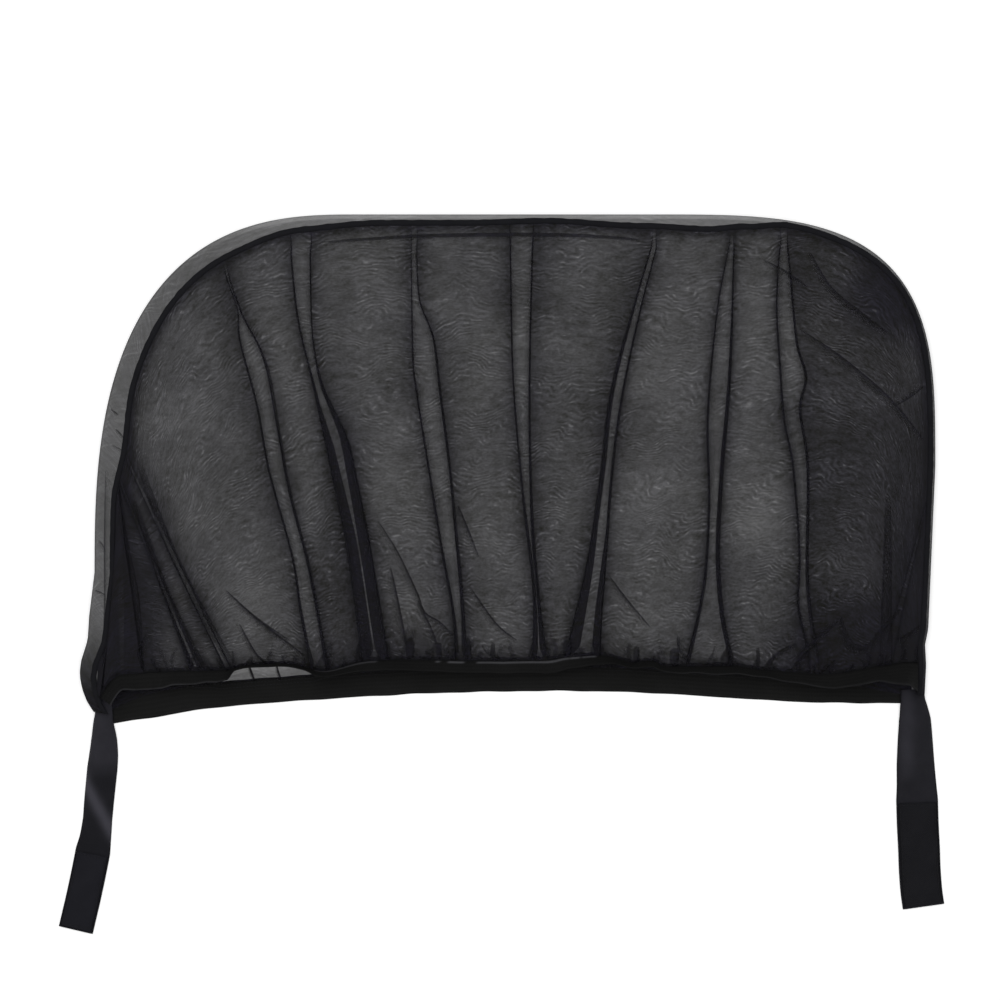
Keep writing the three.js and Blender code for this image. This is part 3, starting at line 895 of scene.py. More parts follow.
@dataclass
class FrontPanel:
    """The front mesh panel, gathered at the mouth and pleated up to the seam."""

    left_rise: float = 14.0
    right_rise: float = 32.0
    side_run: float = 0.005
    hem_height: float = 10.0
    hem_height_run: float = 60.0
    loft: float = 4.5
    bay_rise: float = 2.2
    foot: float = 1.5
    column_pitch: float = 4.4
    rows: int = 176
    flat: tuple[float, float] = (1.06, 0.49)
    foot_height: float = 30.0
    head_height: float = 460.0
    turn_steps: int = 4
    opened_at: float = 0.03
    closing_from: float = 0.95
    straight_from: float = 0.94
    lowest: float = 8.7
    short_puckers: Wave = Wave(8.0, 1.9, 11)
    long_puckers: Wave = Wave(17.0, 1.7, 12)
    drape: Wave = Wave(95.0, 1.1, 5)
    small_drape: Wave = Wave(26.0, 0.28, 6)
    cloudy_layers: Wave = Wave(110.0, 0.10, 8)
    mottled_layers: Wave = Wave(30.0, 0.06, 9)
    bead_waves: tuple[Wave, Wave, Wave] = (Wave(6.0, 0.45, 31), Wave(22.0, 0.3, 32), Wave(5.0, 0.12, 33))
    hem_line: Line = (
        (36, 18), (60, 22), (110, 24), (150, 25), (172, 29), (210, 30), (232, 25), (252, 24), (290, 34), (340, 35),
        (400, 34), (465, 35), (488, 38), (524, 39), (552, 32), (573, 33), (590, 28), (650, 29), (680, 25), (741, 21),
        (767, 23), (800, 29), (826, 33),
    )
    pleats: tuple[Pleat, ...] = (
        Pleat(
            ((27, 225), (26, 155), (26, 95), (24, 25)), ((37, 225), (49, 155), (61, 95), (65, 25)), 4.5,
            ((0, 19, 20), (0.3, 15, 15), (0.6, 8, 8), (0.85, 3, 3), (1, 0, 0)), 0.128,
        ),
        Pleat(
            ((54, 195), (82, 110), (112, 30)), ((58, 195), (88, 110), (126, 30)), 4.0,
            ((0, 6.5, 6.5), (0.2, 4, 4), (0.45, 1.6, 1.6), (1, 0.5, 0.8)), 0.1345,
        ),
        Pleat(
            ((59, 230), (92, 140), (147, 35)), ((64, 230), (99, 140), (154, 35)), 4.0,
            ((0, 1.4, 1.6), (0.5, 1, 1.4), (1, 0.3, 0.4)), 0.150,
        ),
        Pleat(
            ((144, 455), (144, 429), (159, 385), (161, 355), (178, 291), (190, 225), (213, 141), (221, 86), (231, 31)),
            ((148, 455), (148, 429), (164, 381), (189, 329), (202, 259), (213, 200), (230, 135), (241, 79), (250, 27)),
            6.0,
            ((0, 6, 4), (0.06, 3, 3), (0.3, 1.5, 2), (0.6, 1.3, 1.3), (0.8, 1, 1.2), (1, 0.4, 0.9)),
        ),
        Pleat(
            ((211, 450), (218, 381), (234, 311), (254, 218), (268, 148), (280, 62), (284, 33)),
            ((232, 450), (234, 363), (244, 311), (268, 259), (278, 218), (292, 148), (306, 62), (311, 33)), 6.5,
            ((0, 12.5, 13), (0.3, 11, 11), (0.5, 8, 8.5), (0.6, 3, 4), (0.7, 1.1, 1.2), (1, 0.8, 1)),
        ),
        Pleat(
            ((332, 450), (334, 339), (338, 301), (351, 218), (362, 148), (374, 79), (376, 33)),
            ((338, 450), (341, 396), (355, 356), (362, 301), (371, 232), (376, 183), (383, 114), (387, 58), (388, 33)),
            5.5, ((0, 4.5, 5.5), (0.1, 2.5, 3.5), (0.4, 1.4, 2), (0.8, 0.8, 1.2), (1, 0.4, 0.5)),
        ),
        Pleat(
            ((431, 455), (434, 315), (444, 195), (454, 102), (453, 38)),
            ((454, 455), (451, 315), (453, 195), (460, 102), (468, 38)), 5.0,
            ((0, 6, 6.5), (0.15, 3.5, 4), (0.4, 1.4, 2), (0.7, 1, 1.3), (1, 1, 1.2)),
        ),
        Pleat(
            ((574, 455), (554, 388), (531, 302), (521, 222), (508, 135), (485, 38)),
            ((578, 448), (561, 382), (544, 302), (534, 228), (528, 148), (523, 82), (521, 38)), 6.0,
            ((0, 14, 9), (0.12, 10, 7), (0.3, 5, 2.4), (0.6, 4, 1.8), (0.85, 1.8, 1.2), (1, 1, 1)),
        ),
        Pleat(
            ((651, 455), (638, 388), (628, 282), (629, 195), (624, 115), (608, 38)),
            ((655, 448), (651, 315), (644, 228), (640, 142), (644, 82), (652, 42)), 5.0,
            ((0, 4, 4), (0.3, 2, 4), (0.6, 1.2, 3.4), (0.8, 0.9, 1.6), (1, 0.8, 0.9)),
        ),
        Pleat(
            ((701, 455), (698, 420), (697, 381), (700, 330), (704, 275), (713, 228), (719, 142), (718, 88), (729, 42)),
            ((708, 455), (712, 413), (718, 352), (727, 318), (721, 285), (729, 228), (729, 115), (739, 35)), 5.0,
            ((0, 3, 4), (0.3, 1.6, 2.6), (0.7, 1.2, 1.8), (1, 0.9, 1.1)),
        ),
        Pleat(
            ((806, 200), (800, 28)), ((810, 200), (812, 28)), 4.0,
            ((0, 4, 4), (0.3, 1.4, 1.4), (1, 0, 0)), 0.88,
        ),
    )
    shades: tuple[Shade, ...] = (
        Shade(828, 100, 26, 130, 0.75), Shade(816, 402, 38, 40, 1.7), Shade(785, 40, 82, 55, 2.0),
        Shade(40, 215, 14, 75, 2.0), Shade(46, 75, 42, 130, 1.9), Shade(118, 62, 16, 40, 0.5),
        Shade(150, 20, 90, 16, 0.4), Shade(330, 40, 60, 26, 0.5), Shade(815, 225, 82, 270, 0.8),
        Shade(265, 120, 26, 160, 0.5),
    )

    def __post_init__(self) -> None:
        """Works out the gathered edge's ends and line, and where the pleats meet both edges."""
        self.left_station = self.left_rise / OUTLINE.length
        self.right_station = 1 - self.right_rise / OUTLINE.length
        self.left_end = self.edge(np.array([self.left_station]))[0]
        self.right_end = self.edge(np.array([self.right_station]))[0]
        self.span = self.right_end[0] - self.left_end[0]
        line = [self.left_end[:2], *[np.array(point, float) for point in self.hem_line], self.right_end[:2]]
        self.route = Route(spline(np.array(line), 480))
        tops = np.linspace(0.2, 0.8, 1200)
        top_line = self.edge(tops)
        self.feet, self.heads, self.head_places = [], [], []
        for pleat in self.pleats:
            self.feet.append(pleat.middle(self.foot_height))
            top = pleat.middle(self.head_height)
            station = pleat.station or float(np.interp(top, top_line[:, 0], tops))
            self.heads.append(station)
            self.head_places.append(self.edge(np.array([station]))[0])

    @staticmethod
    def edge(station: Array) -> Array:
        """Points of the panel's edge along the binding."""
        return rim_point(station, seam_travel(station) + PLAN.binding_width / 2 - PLAN.sewn_in)

    def hem(self, share: Array) -> Array:
        """Points of the gathered edge, at shares of the way across it."""
        share = np.clip(share, 0.0, 1.0)
        x = self.left_end[0] + share * self.span
        from_side = np.minimum(share, 1 - share) * self.span
        side = np.where(share < 0.5, self.left_end[2], self.right_end[2])
        high = side + (self.hem_height - side) * smoothstep(from_side, 0, self.hem_height_run)
        return np.stack([x, self.route.y_at(x), high], -1)

    def section(self, index: int, up: float) -> Array:
        """One pleat's section at a height, out from its left foot, under itself, over and down to its right.

        Args:
            index: Which pleat.
            up: Share of the way from the gathered edge to the seam.

        Returns:
            Offsets across and up from the straight line between the pleat's two ends, one a row.
        """
        pleat = self.pleats[index]
        foot = self.hem(np.array([(self.feet[index] - self.left_end[0]) / self.span]))[0]
        place = foot * (1 - up) + self.head_places[index] * up
        half = pleat.width(place[1]) / 2
        opened = float(smoothstep(up, 0.0, self.opened_at))
        closing = 1 - float(smoothstep(up, self.closing_from, 1.0))
        tucks = (min(pleat.tuck(up, side), half * 0.94) for side in (1, 2))
        left, right = (tuck * (0.55 + 0.45 * opened) * closing for tuck in tucks)
        high = pleat.height * (1 - 0.55 * up) * (0.25 + 0.75 * opened) * closing
        turns = np.array(
            [
                (-half - self.foot, 0.0),
                (-half + left, 0.2 * high),
                (-half, 0.6 * high),
                (0.0, high),
                (half, 0.6 * high),
                (half - right, 0.2 * high),
                (half + self.foot, 0.0),
            ]
        )
        if not pleat.station:
            bent = float(1 - smoothstep(up, self.straight_from, 1.0))
            turns[:, 0] += (pleat.middle(place[1]) - place[0]) * bent
        return spline(turns, (len(turns) - 1) * self.turn_steps)

    def from_sides(self, section: Array) -> Array:
        """How far a pleat section's points over its top are from its two sides, and 0 under it."""
        left, top, right = (turn * self.turn_steps for turn in (2, 3, 4))
        middle, half = section[top, 0], (section[right, 0] - section[left, 0]) / 2
        far = 2.6 * (half - np.abs(section[:, 0] - middle)) + 2
        far[:left], far[right + 1 :] = 0.0, 0.0
        return np.maximum(far, 0.0)

    def columns(self, up: float) -> tuple[Array, Array, Array, Array]:
        """Where the panel's columns stand at a height.

        Args:
            up: Share of the way from the gathered edge to the seam.

        Returns:
            Shares along the gathered edge, stations round the seam, lifts, and how far each column is from the
            nearest pleat's side, in millimetres.
        """
        share, station, lift, near = [0.0], [self.left_station + self.side_run], [0.0], [0.0]
        previous = 0.0
        for index in range(len(self.pleats) + 1):
            if index == len(self.pleats):
                ends = (np.ones(1), np.array([self.right_station - self.side_run]), np.zeros(1))
                gap = self.span + self.left_end[0] - previous
            else:
                section = self.section(index, up)
                ends = (
                    (self.feet[index] - self.left_end[0] + section[:, 0]) / self.span,
                    self.heads[index] + section[:, 0] / OUTLINE.length,
                    section[:, 1],
                )
                gap = self.feet[index] - previous
                previous = self.feet[index]
            steps = max(int(gap / self.column_pitch), 5)
            part = np.arange(1, steps) / steps
            share.extend(share[-1] + (ends[0][0] - share[-1]) * part)
            station.extend(station[-1] + (ends[1][0] - station[-1]) * part)
            lift.extend(self.bay_rise * np.sin(np.pi * part) * float(fullness(np.array(up))))
            near.extend(np.minimum(part, 1 - part) * gap)
            share.extend(ends[0])
            station.extend(ends[1])
            lift.extend(ends[2])
            near.extend(np.zeros(1) if index == len(self.pleats) else self.from_sides(section))
        return np.array(share), np.array(station), np.array(lift), np.array(near)

    def grid(self) -> Grid:
        """The whole panel's points, cloth coordinates and layers."""
        heights = np.linspace(0.0, 1.0, self.rows) ** 1.3
        rows, nears = [], []
        for up in heights:
            share, station, lift, near = self.columns(float(up))
            place = self.hem(share) * (1 - up) + self.edge(station) * up
            place[:, 2] += lift + self.loft * float(fullness(np.array(up))) * fullness(share)
            rows.append(place)
            nears.append(near)
        points, near = np.array(rows), np.array(nears)
        up = heights[:, None]
        inner = np.sin(np.pi * np.clip(up, 0, 1)) ** 0.5
        spot = run_along(points[:, :, :2], 1)
        first = spot[0][None, :]
        fade = np.exp(-up / 0.05) * smoothstep(up, 0.0, 0.006)
        long_fade = np.exp(-up / 0.16) * smoothstep(up, 0.0, 0.03)
        puckers = self.short_puckers.along(first) * fade + self.long_puckers.along(first) * long_fade
        drape, small = self.drape.over(points) * inner, self.small_drape.over(points) * inner
        points[..., 2] = np.maximum(points[..., 2] + puckers + drape + small, self.lowest)
        wide = spot[:, -1:].max()
        cloth = np.stack([spot / spot[:, -1:] * wide, np.broadcast_to(up * self.flat[1] / MM, spot.shape)], -1)
        grid = Grid(points, cloth)
        grid.values["layers"] = grid.slopes() ** 0.9 + self.extra_layers(points, near, up)
        return grid

    def extra_layers(self, points: Array, near: Array, up: Array) -> Array:
        """Layers that make the cloth denser: along the seam and the gathers, where it bunches, and beside the pleats
        and in patches, partly bunched cloth and partly painted shade.
        """
        # Beside the pleats: partly denser cloth on the slopes, partly painted shade
        layers = 0.55 * np.exp(-near / 5.0) + 0.32 * np.exp(-near / 17.0) - 0.12
        layers = layers + 0.9 * np.exp(-up / 0.010) + 0.35 * np.exp(-up / 0.07)
        layers += self.cloudy_layers.over(points)
        layers += self.mottled_layers.over(points)
        x, y = points[..., 0], points[..., 1]
        seam = self.edge(np.linspace(0, 1, 500))[:, :2]
        from_seam = np.min([np.hypot(x - seam_x, y - seam_y) for seam_x, seam_y in seam], axis=0)
        layers += 1.1 * np.exp(-((from_seam / 6.0) ** 2)) + 0.25 * np.exp(-from_seam / 16.0)
        for shade in self.shades:
            far = ((x - shade.x) / shade.reach_x) ** 2 + ((y - shade.y) / shade.reach_y) ** 2
            layers += shade.layers * np.exp(-(far**1.5))
        return np.maximum(layers, -0.4)

    def build(self, finish: bpy.types.Material) -> bpy.types.Object:
        """Makes the panel's piece."""
        obj = Maker.sheet("front_mesh", self.grid())
        return Maker.dressed(obj, finish, Slot.MESH, "front_mesh_panel")

    def bead(self, finish: bpy.types.Material) -> bpy.types.Object:
        """The roll of gathered cloth along the panel's lower edge."""
        share = np.linspace(0.0, 1.0, 640)
        line = self.hem(share)
        spot = share * self.span
        along = unit(np.gradient(line, axis=0))
        out = np.stack([along[:, 1], -along[:, 0], np.zeros(len(share))], -1)
        fine, broad, upright = (wave.along(spot) for wave in self.bead_waves)
        centre = line - out * 1.7 + np.array([0, 0, 0.25])
        angle = np.linspace(0, 2 * np.pi, 12, endpoint=False)
        up = np.tile([0.0, 0.0, 1.0], (len(share), 1))
        rings = oval_rings(centre, out, up, (2.0 + fine + broad, 1.05 + upright), angle, 1.0)
        cloth = np.stack(np.broadcast_arrays(spot[:, None], (angle * 2.0)[None, :]), -1)
        obj = Maker.tube("front_gather_bead", rings, cloth)
        return Maker.dressed(obj, finish, Slot.MESH)


@dataclass(frozen=True)
class Crease:
    """A crisp crease: its line, its width, its height, how dense it is and how far the painted shade on its soft side
    reaches.
    """

    line: Line
    width: float = 2.0
    layers: float = 1.6
    shade: float = 6.0
    height: float = 0.8


@dataclass
class Creases:
    """Short folds and puckers that stand up from the cloth."""

    folds: tuple[Crease, ...] = (
        Crease(((379, 190), (389, 166), (400, 138)), 2.0, 1.4),
        Crease(((299, 175), (319, 143), (338, 103), (346, 83), (361, 73), (377, 57)), 2.2, 1.6, 7),
        Crease(((312, 128), (320, 90), (329, 44)), 2.4, 1.6, 7),
        Crease(((339, 95), (353, 65), (361, 42)), 2.0, 1.4),
        Crease(((148, 105), (183, 73), (226, 40)), 2.2, 1.6, 7),
        Crease(((161, 92), (186, 72), (211, 55)), 1.8, 1.1),
        Crease(((161, 72), (178, 41), (192, 31)), 2.2, 1.6),
        Crease(((390, 110), (417, 72), (438, 55)), 2.0, 1.4),
        Crease(((528, 122), (549, 94), (571, 68)), 2.0, 1.4),
        Crease(((721, 365), (761, 338), (808, 298), (844, 255)), 2.2, 1.5, 9),
        Crease(((844, 308), (829, 297), (814, 288)), 2.0, 1.2),
        Crease(((684, 435), (706, 423), (728, 408)), 2.0, 1.3),
        Crease(((731, 442), (751, 408), (781, 382), (808, 362)), 2.2, 1.5, 8),
        Crease(((761, 75), (738, 57), (714, 35)), 2.2, 1.4),
        Crease(((761, 79), (764, 67), (771, 53), (779, 48), (789, 50), (801, 65), (821, 87)), 5.0, 1.2, 9),
        Crease(((816, 55), (831, 63), (840, 70)), 2.2, 1.2),
        Crease(((741, 59), (749, 67)), 2.0, 1.2),
        Crease(((685, 30), (702, 45), (718, 52)), 2.4, 1.6),
        Crease(((714, 30), (723, 42), (734, 54)), 2.4, 1.6),
        Crease(((241, 452), (330, 458), (420, 460), (500, 459), (561, 455)), 4.4, 1.6, 5),
        Crease(((32, 286), (36, 283), (40, 280)), 1.6, 0.9, 3),
        Crease(((37, 266), (41, 262), (45, 257)), 1.6, 0.9, 3),
        Crease(((16, 105), (21, 103), (27, 100)), 1.6, 0.9, 3),
        Crease(((33, 250), (41, 246), (48, 240)), 1.4, 0.7, 3),
        Crease(((169, 30), (172, 22), (175, 14)), 2.4, 2.6, 3),
        Crease(((197, 30), (199, 22), (202, 14)), 2.0, 2.4, 3),
        Crease(((20, 155), (24, 150), (27, 143)), 1.4, 0.7, 3),
    )
    dark_spots: tuple[tuple[float, float], ...] = (
        (331, 9), (360.5, 6), (388.5, 6), (414, 5), (455.5, 6), (488, 9), (557, 7), (595, 10), (647, 4), (678, 4),
    )
    edge_layers: float = 0.95
    density: float = 1.3
    count: int = 84
    seed: int = 23
    step: float = 2.2
    fewest_steps: int = 10
    clearance: float = 0.25
    # A crease's section: ways across, in widths, then how high and how dense it is there and on its soft side, where
    # the density is painted shade
    ways: tuple[float, ...] = (-0.5, -0.3, 0.0, 0.3, 0.5)
    ridge: tuple[float, ...] = (0.0, 0.6, 1.0, 0.6, 0.25, 0.1, 0.0)
    dense: tuple[float, ...] = (0.0, 1.0, 1.1, 1.0, 0.42, 0.18, 0.0)

    def pleat_edges(self, panel: FrontPanel) -> list[Crease]:
        """The crisp folded edges of the long pleats, each with painted shade on its soft side, away from the pleat."""
        found = []
        seam = Route(panel.edge(np.linspace(0.2, 0.8, 400))[:, :2])
        for pleat in panel.pleats:
            for line, way in ((pleat.left, -1), (pleat.right, 1)):
                points = spline(np.array(line, float), 60)
                points = points[points[:, 1] < seam.y_at(points[:, 0]) - 3]
                if way < 0:
                    points = points[::-1]
                found.append(Crease(tuple(map(tuple, points)), 1.9, self.edge_layers, 7.0, 0.5))
        return found

    def puckers(self, panel: FrontPanel) -> list[Crease]:
        """Short puckers up from the gathered edge, uneven, the same each run."""
        rng = np.random.default_rng(self.seed)
        found = []
        for x, width in self.dark_spots:
            y = float(panel.route.y_at(x))
            tall = rng.uniform(17, 27)
            line = ((x, y + 0.5), (x + rng.uniform(-1, 1), y + tall / 2), (x, y + tall))
            found.append(Crease(line, width, 1.1, 3, 1.4))
        for spot in np.linspace(70, 835, self.count):
            x = float(spot + rng.uniform(-4, 4))
            y = float(panel.route.y_at(x))
            sizes = [rng.uniform(*limits) for limits in ((7, 14), (13, 24), (22, 42))]
            tall = float(rng.choice(sizes, p=[0.5, 0.33, 0.17]))
            lean = rng.normal(0.0, 0.45) + (0.35 if x > 680 else 0.0)
            bend = rng.normal(0.0, 0.12) * tall
            line = ((x, y + 0.3), (x + lean * tall / 2 + bend, y + tall / 2), (x + lean * tall, y + tall))
            found.append(Crease(line, rng.uniform(1.6, 5.5), rng.uniform(0.3, 0.9), rng.uniform(3, 9), 0.9))
        return found

    def build(
        self, panel: FrontPanel, under: Sequence[bpy.types.Object], finish: bpy.types.Material
    ) -> bpy.types.Object:
        """Makes all the creases as one piece.

        Args:
            panel: The front panel.
            under: The pieces of cloth that the creases stand on.
            finish: The cloth.

        Returns:
            The piece.
        """
        trees = [BVHTree.FromObject(obj, bpy.context.evaluated_depsgraph_get()) for obj in under]
        points, cloth, layers, faces, first = [], [], [], [], 0
        for crease in (*self.folds, *self.pleat_edges(panel), *self.puckers(panel)):
            steps = max(self.fewest_steps, int(Route(crease.line).length / self.step))
            middle = spline(crease.line, steps)
            along = unit(np.gradient(middle, axis=0))
            side = np.stack([along[:, 1], -along[:, 0]], -1)
            part = np.linspace(0.0, 1.0, steps + 1)
            slim = np.maximum(np.sin(np.pi * part), 0.0) ** 0.45
            ways = np.array([*(way * crease.width for way in self.ways), crease.shade / 2, crease.shade])
            reach = ways[None, :, None] * (0.25 + 0.75 * slim)[:, None, None]
            place = middle[:, None] + side[:, None] * reach
            high = np.array([[self.top(trees, spot) for spot in row] for row in place])
            high = high + self.clearance + np.array(self.ridge)[None, :] * crease.height * slim[:, None]
            points.append(np.concatenate([place, high[..., None]], -1).reshape(-1, 3))
            cloth.append(place.reshape(-1, 2))
            dense = np.array(self.dense)[None, :] * crease.layers * self.density * slim[:, None]
            layers.append(dense.ravel())
            index = first + np.arange((steps + 1) * len(ways)).reshape(steps + 1, len(ways))
            corners = (index[:-1, :-1], index[1:, :-1], index[1:, 1:], index[:-1, 1:])
            faces.append(np.stack(corners, -1).reshape(-1, 4))
            first += index.size
        points, faces, cloth, layers = (np.concatenate(parts) for parts in (points, faces, cloth, layers))
        obj = Maker.built("front_creases", points, faces, cloth, {"layers": layers})
        return Maker.dressed(obj, finish, Slot.MESH)

    @staticmethod
    def top(trees: Sequence[BVHTree], spot: Array) -> float:
        """Height of the topmost cloth at a place, in millimetres."""
        start = Vector(((spot[0] + PLACE[0]) * MM, (spot[1] + PLACE[1]) * MM, 0.2))
        hits = [tree.ray_cast(start, Vector((0, 0, -1)))[0] for tree in trees]
        return max([hit.z / MM for hit in hits if hit is not None], default=9.0)


# ------------------------------------------------------------------------------------- back panel


@dataclass
class BackPanel:
    """The back mesh panel: flat on the table, turned up round the rim and in over the top to the seam."""

    band_width: float = 30.0
    lap: float = 6.0
    band_thickness: float = 1.2
    corner_drop: float = 4.0
    flat: tuple[float, float] = (0.95, 0.52)
    band_line: Line = (
        (24, -15), (68, -9), (118, -0.5), (178, 5.5), (258, 11), (338, 15.5), (418, 17.7), (498, 18.3), (578, 16),
        (658, 11), (738, 6.8), (834, 6),
    )
    columns: int = 330
    flat_rows: int = 60
    rim_rows: int = 12
    wrap_rows: int = 8
    lowest: float = 0.15
    edge_waves: Wave = Wave(9.0, 0.9, 41)
    drape: Wave = Wave(80.0, 0.5, 42)
    small_drape: Wave = Wave(24.0, 0.35, 43)
    wrap_waves: tuple[Wave, Wave] = (Wave(17.0, 0.5, 44), Wave(6.0, 0.3, 45))

    def __post_init__(self) -> None:
        """Works out the band's middle line and the panel's lower edge."""
        middles = np.array(self.band_line, float)
        self.band = Route(spline(middles, 240))
        left, right = rim_point(np.array([0.0, 1.0]), 0.0)[:, :2] - [0, self.corner_drop]
        inner = middles[1:-1] + [0, self.band_width / 2 - self.lap]
        self.lower = Route(spline(np.concatenate([[left], inner, [right]]), 400))

    def above_band(self, points: Array) -> Array:
        """How far points lie above the back band's upper edge, in millimetres."""
        return points[..., 1] - self.band.y_at(points[..., 0]) - self.band_width / 2

    def flat_part(self, share: Array, station: Array, x: Array) -> Array:
        """Rows of points on the table, from the panel's lower edge out to the rim.

        Args:
            share: Share of the way across at each column.
            station: Where each column meets the rim.
            x: Where each column starts on the lower edge.

        Returns:
            Rows by columns by 3.
        """
        low = np.stack([x, self.lower.y_at(x), np.full_like(x, PLAN.mesh_thickness / 2)], -1)
        high = rim_point(station, np.zeros_like(station))
        up = np.linspace(0, 1, self.flat_rows) ** 1.3
        flat = low[None] * (1 - up[:, None, None]) + high[None] * up[:, None, None]
        above = self.above_band(flat)
        lift = (self.band_thickness + PLAN.seat_gap) * (1 - smoothstep(above, 2, 22))
        inner = np.sin(np.pi * up)[:, None] ** 0.5 * np.sin(np.pi * share)[None, :] ** 0.35
        near = np.exp(-np.maximum(above, 0) / 26)
        waves = np.abs(self.edge_waves.along(x))[None, :] * near * np.minimum(inner * 3, 1)
        drape = (0.5 + self.drape.over(flat)) * 0.9 * inner
        flat[..., 2] += lift + waves + drape + np.abs(self.small_drape.over(flat)) * inner
        return flat

    def turned_part(self, station: Array) -> Array:
        """Rows of points round the rim and in over the top to the seam, at the columns' stations."""
        end = seam_travel(station) - PLAN.binding_width / 2 + PLAN.sewn_in
        turned = np.minimum(RIM_ROUND, end)
        rows = [rim_point(station, turned * k / self.rim_rows) for k in range(1, self.rim_rows + 1)]
        spot = station * OUTLINE.length
        over = np.maximum(end - turned, 0.05)
        broad, fine = self.wrap_waves
        for k in range(1, self.wrap_rows + 1):
            part = k / self.wrap_rows
            row = rim_point(station, turned + over * part)
            puff = math.sin(math.pi * part) * np.minimum(over / 12, 1)
            row[:, 2] += (0.35 + broad.along(spot + part * 5) + fine.along(spot)) * puff
            rows.append(row)
        return np.array(rows)

    def layers(self, points: Array, station: Array, slopes: Array) -> Array:
        """Layers of the cloth: even on the table, thin over the top, dense at the band and the corners."""
        rim = slice(self.flat_rows, self.flat_rows + self.rim_rows)
        layers = slopes**0.5
        layers[: self.flat_rows] = 1.0 + 0.5 * (slopes[: self.flat_rows] - 1.0)
        layers[rim] = np.minimum(layers[rim], 1.6)
        thin = 0.35 * (smoothstep(station, 0.27, 0.36) - smoothstep(station, 0.66, 0.74))
        layers[self.flat_rows :] *= 1 - thin[None, :]
        layers = layers + 0.9 * np.exp(-np.maximum(self.above_band(points), 0.0) / 9)
        way = (station * OUTLINE.length)[None, :]
        right = smoothstep(way, OUTLINE.length - 160, OUTLINE.length - 20)
        corner = np.exp(-((way / 46) ** 2)) + 0.8 * right
        return layers + 1.1 * corner * np.exp(-np.maximum(points[..., 1] - 40, 0) / 60)

    def grid(self) -> Grid:
        """The whole panel's points, cloth coordinates and layers."""
        share = np.linspace(0, 1, self.columns)
        station = 0.5 - 0.5 * np.sign(0.5 - share) * np.abs(1 - 2 * share) ** 0.92
        ends = self.lower.points[0, 0], self.lower.points[-1, 0]
        x = ends[0] + (ends[1] - ends[0]) * share
        points = np.concatenate([self.flat_part(share, station, x), self.turned_part(station)])
        points[..., 2] = np.maximum(points[..., 2], self.lowest)
        down = run_along(points)
        grid = Grid(points, np.stack([np.broadcast_to(x, down.shape), down], -1), flipped=True)
        grid.values["layers"] = self.layers(points, station, grid.slopes())
        return grid

    def build(self, finish: bpy.types.Material) -> bpy.types.Object:
        """Makes the panel's piece."""
        obj = Maker.sheet("back_mesh", self.grid())
        return Maker.dressed(obj, finish, Slot.MESH, "back_mesh_panel", "back_panel_edge")


# ------------------------------------------------------------------------------- seam, bands and straps


@dataclass
class Binding:
    """The bound seam round the sock, with its stitches."""

    thickness: float = 2.4
    stations: int = 700
    sides: int = 14
    width_waves: Wave = Wave(14.0, 0.07, 51)
    height_waves: Wave = Wave(8.0, 0.1, 52)

    @staticmethod
    def section(station: Array) -> tuple[Array, Array, Array]:
        """The binding's middle, and unit vectors across it and up from it, at stations of the outline."""
        travel = seam_travel(station)
        across = unit(rim_point(station, travel + 0.5) - rim_point(station, travel - 0.5))
        side = OUTLINE.side(station)
        along = np.stack([-side[:, 1], side[:, 0], np.zeros(len(side))], -1)
        return rim_point(station, travel), across, np.cross(along, across)

    def line(self, out: float, lift: float) -> Array:
        """Line along the binding, off its middle across and up, in millimetres."""
        middle, across, up = self.section(np.linspace(0.002, 0.998, self.stations))
        return middle + across * out + up * lift

    def build(self, finish: bpy.types.Material) -> bpy.types.Object:
        """Makes the binding's piece."""
        station = np.linspace(0.0, 1.0, self.stations)
        spot = station * OUTLINE.length
        angle = np.linspace(0, 2 * np.pi, self.sides, endpoint=False)
        wide = PLAN.binding_width / 2 * (1 + self.width_waves.along(spot))
        high = self.thickness / 2 * (1 + self.height_waves.along(spot))
        rings = oval_rings(*self.section(station), (wide, high), angle, 0.7)
        cloth = np.stack(np.broadcast_arrays(spot[:, None], (angle * 2.2)[None, :]), -1)
        obj = Maker.tube("edge_binding_tape", rings, cloth)
        return Maker.dressed(obj, finish, Slot.BINDING, "edge_binding")


def slab_rings(low: Array, high: Array, normal: Array, thickness: float, sides: int = 10) -> tuple[Array, Array]:
    """Rings of a flat band with rounded edges between two edge lines.

    Args:
        low: One edge's points.
        high: The other edge's points.
        normal: Unit vectors out of the band's face.
        thickness: The band's thickness.
        sides: Points across the face.

    Returns:
        The rings, and the way across at each ring's points.
    """
    part = np.linspace(0.0, 1.0, sides)
    round_ = np.minimum(np.minimum(part, 1 - part) * 8, 1) ** 0.5
    over = np.concatenate([part, part[::-1]])
    up = np.concatenate([round_, -round_[::-1]]) * thickness / 2
    up[np.abs(up) < 1e-6] = 0.0
    keep = np.ones(len(over), bool)
    keep[sides], keep[-1] = False, False
    over, up = over[keep], up[keep]
    rings = low[:, None] * (1 - over)[None, :, None] + high[:, None] * over[None, :, None]
    rings = rings + normal[:, None] * up[None, :, None]
    return rings, np.broadcast_to(over, rings.shape[:2])


